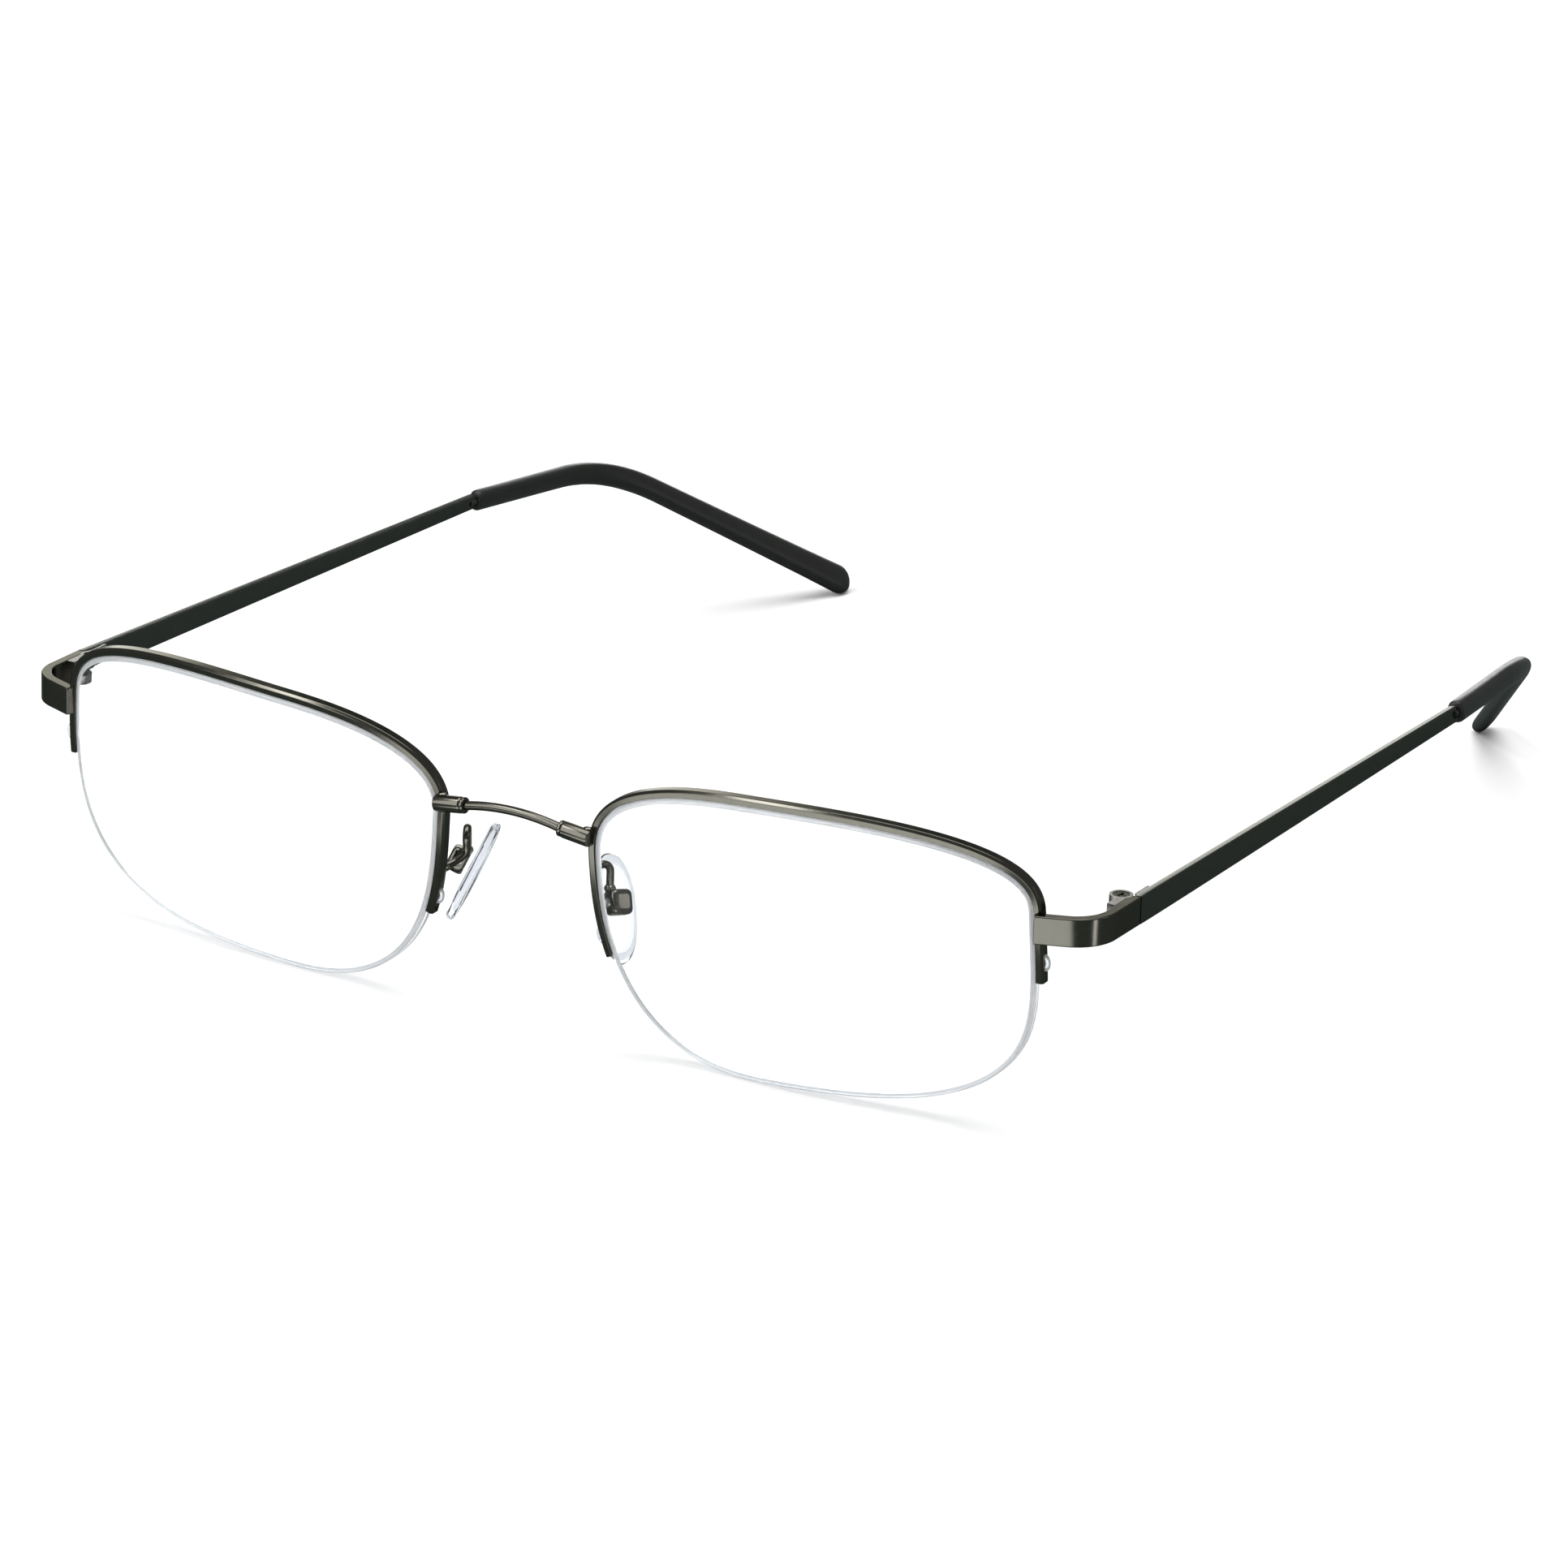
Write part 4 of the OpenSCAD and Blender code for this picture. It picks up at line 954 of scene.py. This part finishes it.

# %% [markdown]
# A nose pad is a soft clear drop, flat towards its box and full towards the
# nose. Its outline is the same four-quarter curve as the lens, much smaller.
# Rings grow from the flat back, round the rim of the drop and over its crown,
# and a subdivision surface smooths them. The rim of the drop is a greyer blue:
# that is painted shade, which draws the darker outline of the clear drop.

# %% Nose pads
PAD_LEN, PAD_W, PAD_T = 11.2, 5, 1.2
PAD_X, PAD_Y, PAD_DOWN = 8.7, 8.4, 8.5
PAD_SPLAY, PAD_FLARE, PAD_PITCH = math.radians(22), math.radians(24.5), math.radians(10)
PAD_SCREW_UP, PAD_SCREW_AHEAD, PAD_SCREW_R = 0.5, 0.5, 0.33
PAD_SHAPE = (
    (0.45, 1), (0.84, 1), (0.93, 0.86), (1, 0.4), (1, -0.3), (0.95, -0.68), (0.8, -0.92), (0.45, -1.08)
)
PAD_CROWN = -1.12
PAD_AROUND = 48
PAD_INNER, PAD_SQUARES = 0.45, (2.2, 2.3, 3.4, 2.5)
PAD_SHADE_RINGS = range(1, 6)
PAD_CRISP = math.radians(80)
BOX_D, BOX_W, BOX_H, BOX_GAP = 1.9, 2.5, 2.6, 0.4
SCREW_AT = BOX_D * 0.45
box_x = PAD_T / 2 + BOX_GAP
screw_x = box_x + SCREW_AT


def pad_place(x, y, z):
    y, z = turned(y, z, -PAD_PITCH)
    z, x = turned(z, x, -PAD_FLARE)
    x, y = turned(x, y, -PAD_SPLAY)
    return np.array((PAD_X + x, PAD_Y + y, LENS_Z - PAD_DOWN + z))


def make_pad(name, side):
    half = PAD_T / 2
    reaches = (PAD_W * PAD_INNER, PAD_W * (1 - PAD_INNER), PAD_LEN / 2, PAD_LEN / 2)
    points = []
    for size, thick in PAD_SHAPE:
        for k in range(PAD_AROUND):
            y, z = quarter_point(360 * k / PAD_AROUND, *reaches, PAD_SQUARES)
            points.append(pad_place(half * thick, size * y, size * z))
    points += [pad_place(half, 0, 0), pad_place(PAD_CROWN * half, 0, 0)]
    faces = ring_faces(len(PAD_SHAPE), PAD_AROUND) + fan_faces(len(PAD_SHAPE), PAD_AROUND)
    piece = make_piece(name, points, faces, side, PAD_CRISP)
    mark_rings(piece, PAD_SHADE_RINGS, PAD_AROUND, EDGE_SLOT)
    smooth = piece.modifiers.new("smooth", "SUBSURF")
    smooth.levels = smooth.render_levels = 1
    return piece


for side_name, side in SIDES:
    pad = make_pad(side_name + "_pad_drop", side)
    finish_piece(pad, side_name + "_pad", (PAD_CLEAR, PAD_EDGE_PAINTED_SHADE), "clear_pad", side_name + "_nose_pad")
    print(pad.name, "size", PAD_LEN, "by", PAD_W, "mm")

# %% [markdown]
# The pad box is a small cast block, open towards the pad so that the pad's stem
# can go in. Casting leaves generous radii, so each ring of the block is a square
# with soft corners. The rings start at the floor of the pocket, come out over
# its edge, and close over the far end like a pillow.

# %% Pad boxes
BOX_SHAPE = (
    (0.75, 0.7), (0.1, 0.76), (0.02, 0.8), (0, 0.86), (0.04, 0.93), (0.14, 0.985), (0.3, 1),
    (0.64, 1), (0.78, 0.98), (0.88, 0.93), (0.95, 0.84), (0.99, 0.7), (1, 0.5)
)
BOX_AROUND = 48
BOX_SQUARES = (5,) * 4
BOX_CRISP = math.radians(50)


def make_pad_box(name, side):
    reaches = (BOX_W / 2, BOX_W / 2, BOX_H / 2, BOX_H / 2)
    rings = []
    for along, size in BOX_SHAPE:
        ring = []
        for k in range(BOX_AROUND):
            y, z = quarter_point(360 * k / BOX_AROUND, *reaches, BOX_SQUARES)
            ring.append(pad_place(box_x + BOX_D * along, size * y - PAD_SCREW_AHEAD, size * z + PAD_SCREW_UP))
        rings.append(ring)
    return skin(name, rings, side, BOX_CRISP)


for side_name, side in SIDES:
    box = make_pad_box(side_name + "_pad_box_piece", side)
    finish_piece(box, "front", GUNMETAL, "gunmetal", side_name + "_pad_box")
    print(box.name, "size", BOX_D, BOX_W, BOX_H, "mm")

# %% [markdown]
# A wire arm holds each pad box. It starts on the back of the rim, goes up in a
# tight loop like a shepherd's crook, and comes down onto the box. The loop is
# what an optician bends to fit a nose. The route is smoothed, so the tube has
# no kinks.

# %% Pad arms
ARM_D, ARM_SPAN, ARM_TURN, LOOP_DOWN, ARM_FOOT = 0.8, 1.9, math.radians(62), 4.2, 195
FOOT_OUT, FOOT_BACK = RIM_GAP + RIM_W * 0.7, RIM_D + ARM_D * 0.05
SEAT_IN, SEAT_AHEAD, SEAT_SINK, NECK_UP = BOX_D * 0.35, BOX_W * 0.27, ARM_D * 0.15, ARM_D * 0.5
LOOP_STEPS, ARM_STEPS, ARM_AROUND = 8, 4, 20
ARM_BRAZES = (("foot", 0, (0.5, 0.35, 0.5)), ("neck", 0.3, (0.62, 0.62, 0.5)))


def make_arm(name, side):
    foot = rim_place(ARM_FOOT, FOOT_OUT, FOOT_BACK)
    seat = (box_x + SEAT_IN, -PAD_SCREW_AHEAD - SEAT_AHEAD, PAD_SCREW_UP + BOX_H / 2)
    head = pad_place(seat[0], seat[1], seat[2] - SEAT_SINK)
    neck = pad_place(seat[0], seat[1], seat[2] + NECK_UP)
    across = np.array((math.cos(ARM_TURN), math.sin(ARM_TURN), 0))
    top = LENS_Z - LOOP_DOWN
    middle = np.array((neck[0], neck[1], top)) - across * ARM_SPAN / 2
    loop = []
    for i in range(LOOP_STEPS + 1):
        a = math.pi * (1 - i / LOOP_STEPS)
        loop.append(middle + ARM_SPAN / 2 * (math.cos(a) * across + np.array((0, 0, math.sin(a)))))
    near = np.array((loop[0][0], loop[0][1], (top + foot[2]) / 2))
    rise = (foot + near) / 2 + np.array((0, ARM_D / 4, -ARM_D / 4))
    path = smooth_path([foot, rise, near] + loop + [neck, head], ARM_STEPS)
    return skin(name, wire_rings(path, ARM_D / 2, ARM_AROUND, (across[1], -across[0], 0)), side), foot, neck


for side_name, side in SIDES:
    arm, foot, neck = make_arm(side_name + "_arm_wire", side)
    finish_piece(arm, "front", GUNMETAL, "gunmetal", side_name + "_pad_arm")
    for (name, lower, size), place in zip(ARM_BRAZES, (foot, neck)):
        blob = make_fillet(side_name + "_arm_" + name + "_fillet", place - (0, 0, lower), size, side)
        finish_piece(blob, "front", SOLDER, "gunmetal")
print("arm wire", ARM_D, "mm, loop", ARM_SPAN, "mm across")

# %% [markdown]
# The pad screw is the smallest turned part. Its round head sits in the side of
# the box, and its threaded end comes out on the other side. The thread is a
# row of fine ridges, which is all that shows at this size.

# %% Pad screws
THREAD_PITCH, THREAD_ROOT = 0.16, PAD_SCREW_R * 0.86
HEAD_R, HEAD_LEN, HEAD_PROUD = PAD_SCREW_R * 1.4, PAD_SCREW_R * 1.3, PAD_SCREW_R * 0.3
HEAD_ROUND, HEAD_TOP_R = 0.05, HEAD_R * 0.8
END_R, END_PROUD = PAD_SCREW_R * 0.7, PAD_SCREW_R * 0.4
SCREW_AROUND = 24


def make_pad_screw(name, side):
    start = -BOX_W / 2 - HEAD_PROUD
    head_end = start + HEAD_LEN
    end = BOX_W / 2 + END_PROUD
    profile = [(start, HEAD_TOP_R), (start + HEAD_ROUND, HEAD_R)]
    profile += [(head_end, HEAD_R), (head_end, PAD_SCREW_R)]
    ridges = int((end - head_end) / THREAD_PITCH)
    for i in range(ridges):
        at = head_end + (i + 0.5) * THREAD_PITCH
        profile += [(at - THREAD_PITCH / 4, THREAD_ROOT), (at + THREAD_PITCH / 4, PAD_SCREW_R)]
    profile.append((end, END_R))
    rings = []
    for y, r in profile:
        ring = []
        for k in range(SCREW_AROUND):
            a = math.tau * k / SCREW_AROUND
            x, z = screw_x + r * math.cos(a), PAD_SCREW_UP + r * math.sin(a)
            ring.append(pad_place(x, y - PAD_SCREW_AHEAD, z))
        rings.append(ring)
    return skin(name, rings, side)


for side_name, side in SIDES:
    screw = make_pad_screw(side_name + "_pad_screw_piece", side)
    finish_piece(screw, "front", SCREW_STEEL, "screw_steel", side_name + "_pad_screw")
print("pad screws with thread pitch", THREAD_PITCH, "mm")

# %% [markdown]
# The floor is plain and pale. It is a touch below zero, so that the lens edge
# and the floor don't fight for the same height. The world gives weak even
# light. One broad lamp straight above gives the soft shadows, which are dark
# only where the lenses and tips stand on the floor, and fade as they rise.
#
# Plated metal shows what is around it, so a product photographer builds its
# looks from cards. A bright card on the floor in front lights the faces that
# look forward, and a tiny one draws the stripe on the bend of the right
# endpiece. Fills and strips at the left, the right and behind draw long
# highlights on wires and edges. Two black cards, one below and one behind, turn
# the other faces nearly black, and only reflections see them.

# %% Floor and light
FLOOR_WIDTH, FLOOR_DROP = 6.0, 0.00002
WORLD_LEVEL = 0.25
PALE, DARK = (0.9, 0.9, 0.9, 1), (0.14, 0.168, 0.156, 1)
CARD_HEIGHT, CARD_AIM = 0.001, 0.5


def make_card(name, corner, along, across, colour, roughness, specular):
    corner, along, across = (Vector(v) for v in (corner, along, across))
    corners = [corner, corner + along, corner + along + across, corner + across]
    mesh = bpy.data.meshes.new(name)
    mesh.from_pydata(corners, [], [(0, 1, 2, 3)])
    made, shader = start_finish(name)
    shader.inputs["Base Color"].default_value = colour
    shader.inputs["Roughness"].default_value = roughness
    shader.inputs["Specular IOR Level"].default_value = specular
    mesh.materials.append(made)
    return add_object(name, mesh)


def make_floor():
    corner = (-FLOOR_WIDTH / 2, -FLOOR_WIDTH / 2, -FLOOR_DROP)
    along, across = (FLOOR_WIDTH, 0, 0), (0, FLOOR_WIDTH, 0)
    floor = make_card("floor", corner, along, across, PALE, roughness=0.7, specular=0.1)


def make_black_card(name, corner, along, across):
    card = make_card(name, corner, along, across, DARK, roughness=0.9, specular=0)
    card.visible_camera = card.visible_diffuse = card.visible_shadow = card.visible_transmission = False


def make_lamp(name, place, aim, size, power, seen=True):
    data = bpy.data.lights.new(name, "AREA")
    data.shape = "RECTANGLE"
    data.size, data.size_y = size
    data.energy = power
    lamp = add_object(name, data)
    lamp.location = place
    lamp.rotation_mode = "QUATERNION"
    lamp.rotation_quaternion = (Vector(aim) - Vector(place)).to_track_quat("-Z", "Y")
    lamp.visible_camera = seen


def make_floor_lamp(name, x, y, size, power):
    make_lamp(name, (x, y, CARD_HEIGHT), (x, y, CARD_AIM), size, power, seen=False)


def make_world(strength):
    world = bpy.data.worlds.new("studio")
    world.use_nodes = True
    sky = world.node_tree.nodes["Background"]
    sky.inputs["Color"].default_value = (1, 1, 1, 1)
    sky.inputs["Strength"].default_value = strength
    bpy.context.scene.world = world


make_floor()
make_world(WORLD_LEVEL)
make_black_card("black card below", (-0.8, -0.8, 0.0003), along=(1.6, 0, 0), across=(0, 1.6, 0))
make_black_card("black card behind", (-1.6, 1.0, 0.56), along=(1.6, 0, 0), across=(0, 0, 0.9))
make_lamp("key", (0, 0.2, 2.2), aim=(0, 0, 0), size=(1.8, 1.8), power=39)
make_floor_lamp("front card", 0.026, -0.175, size=(0.12, 0.15), power=0.165)
make_lamp("front fill", (-0.49, -0.84, 0.5), aim=(0, 0, 0.02), size=(0.6, 0.9), power=5.4)
make_lamp("right fill", (1.0, 0.28, 0.37), aim=(0, 0, 0.02), size=(0.3, 0.3), power=0.6)
make_lamp("back strip", (-0.7, 1.1, 0.25), aim=(0, 0, 0), size=(1.0, 0.5), power=7)
make_lamp("top strip", (-0.62, -0.46, 1.08), aim=(0, 0, 0), size=(0.5, 0.24), power=4)
make_floor_lamp("stripe card", 0.125, -0.07, size=(0.03, 0.008), power=0.004)
bpy.context.scene.view_settings.view_transform = "Standard"
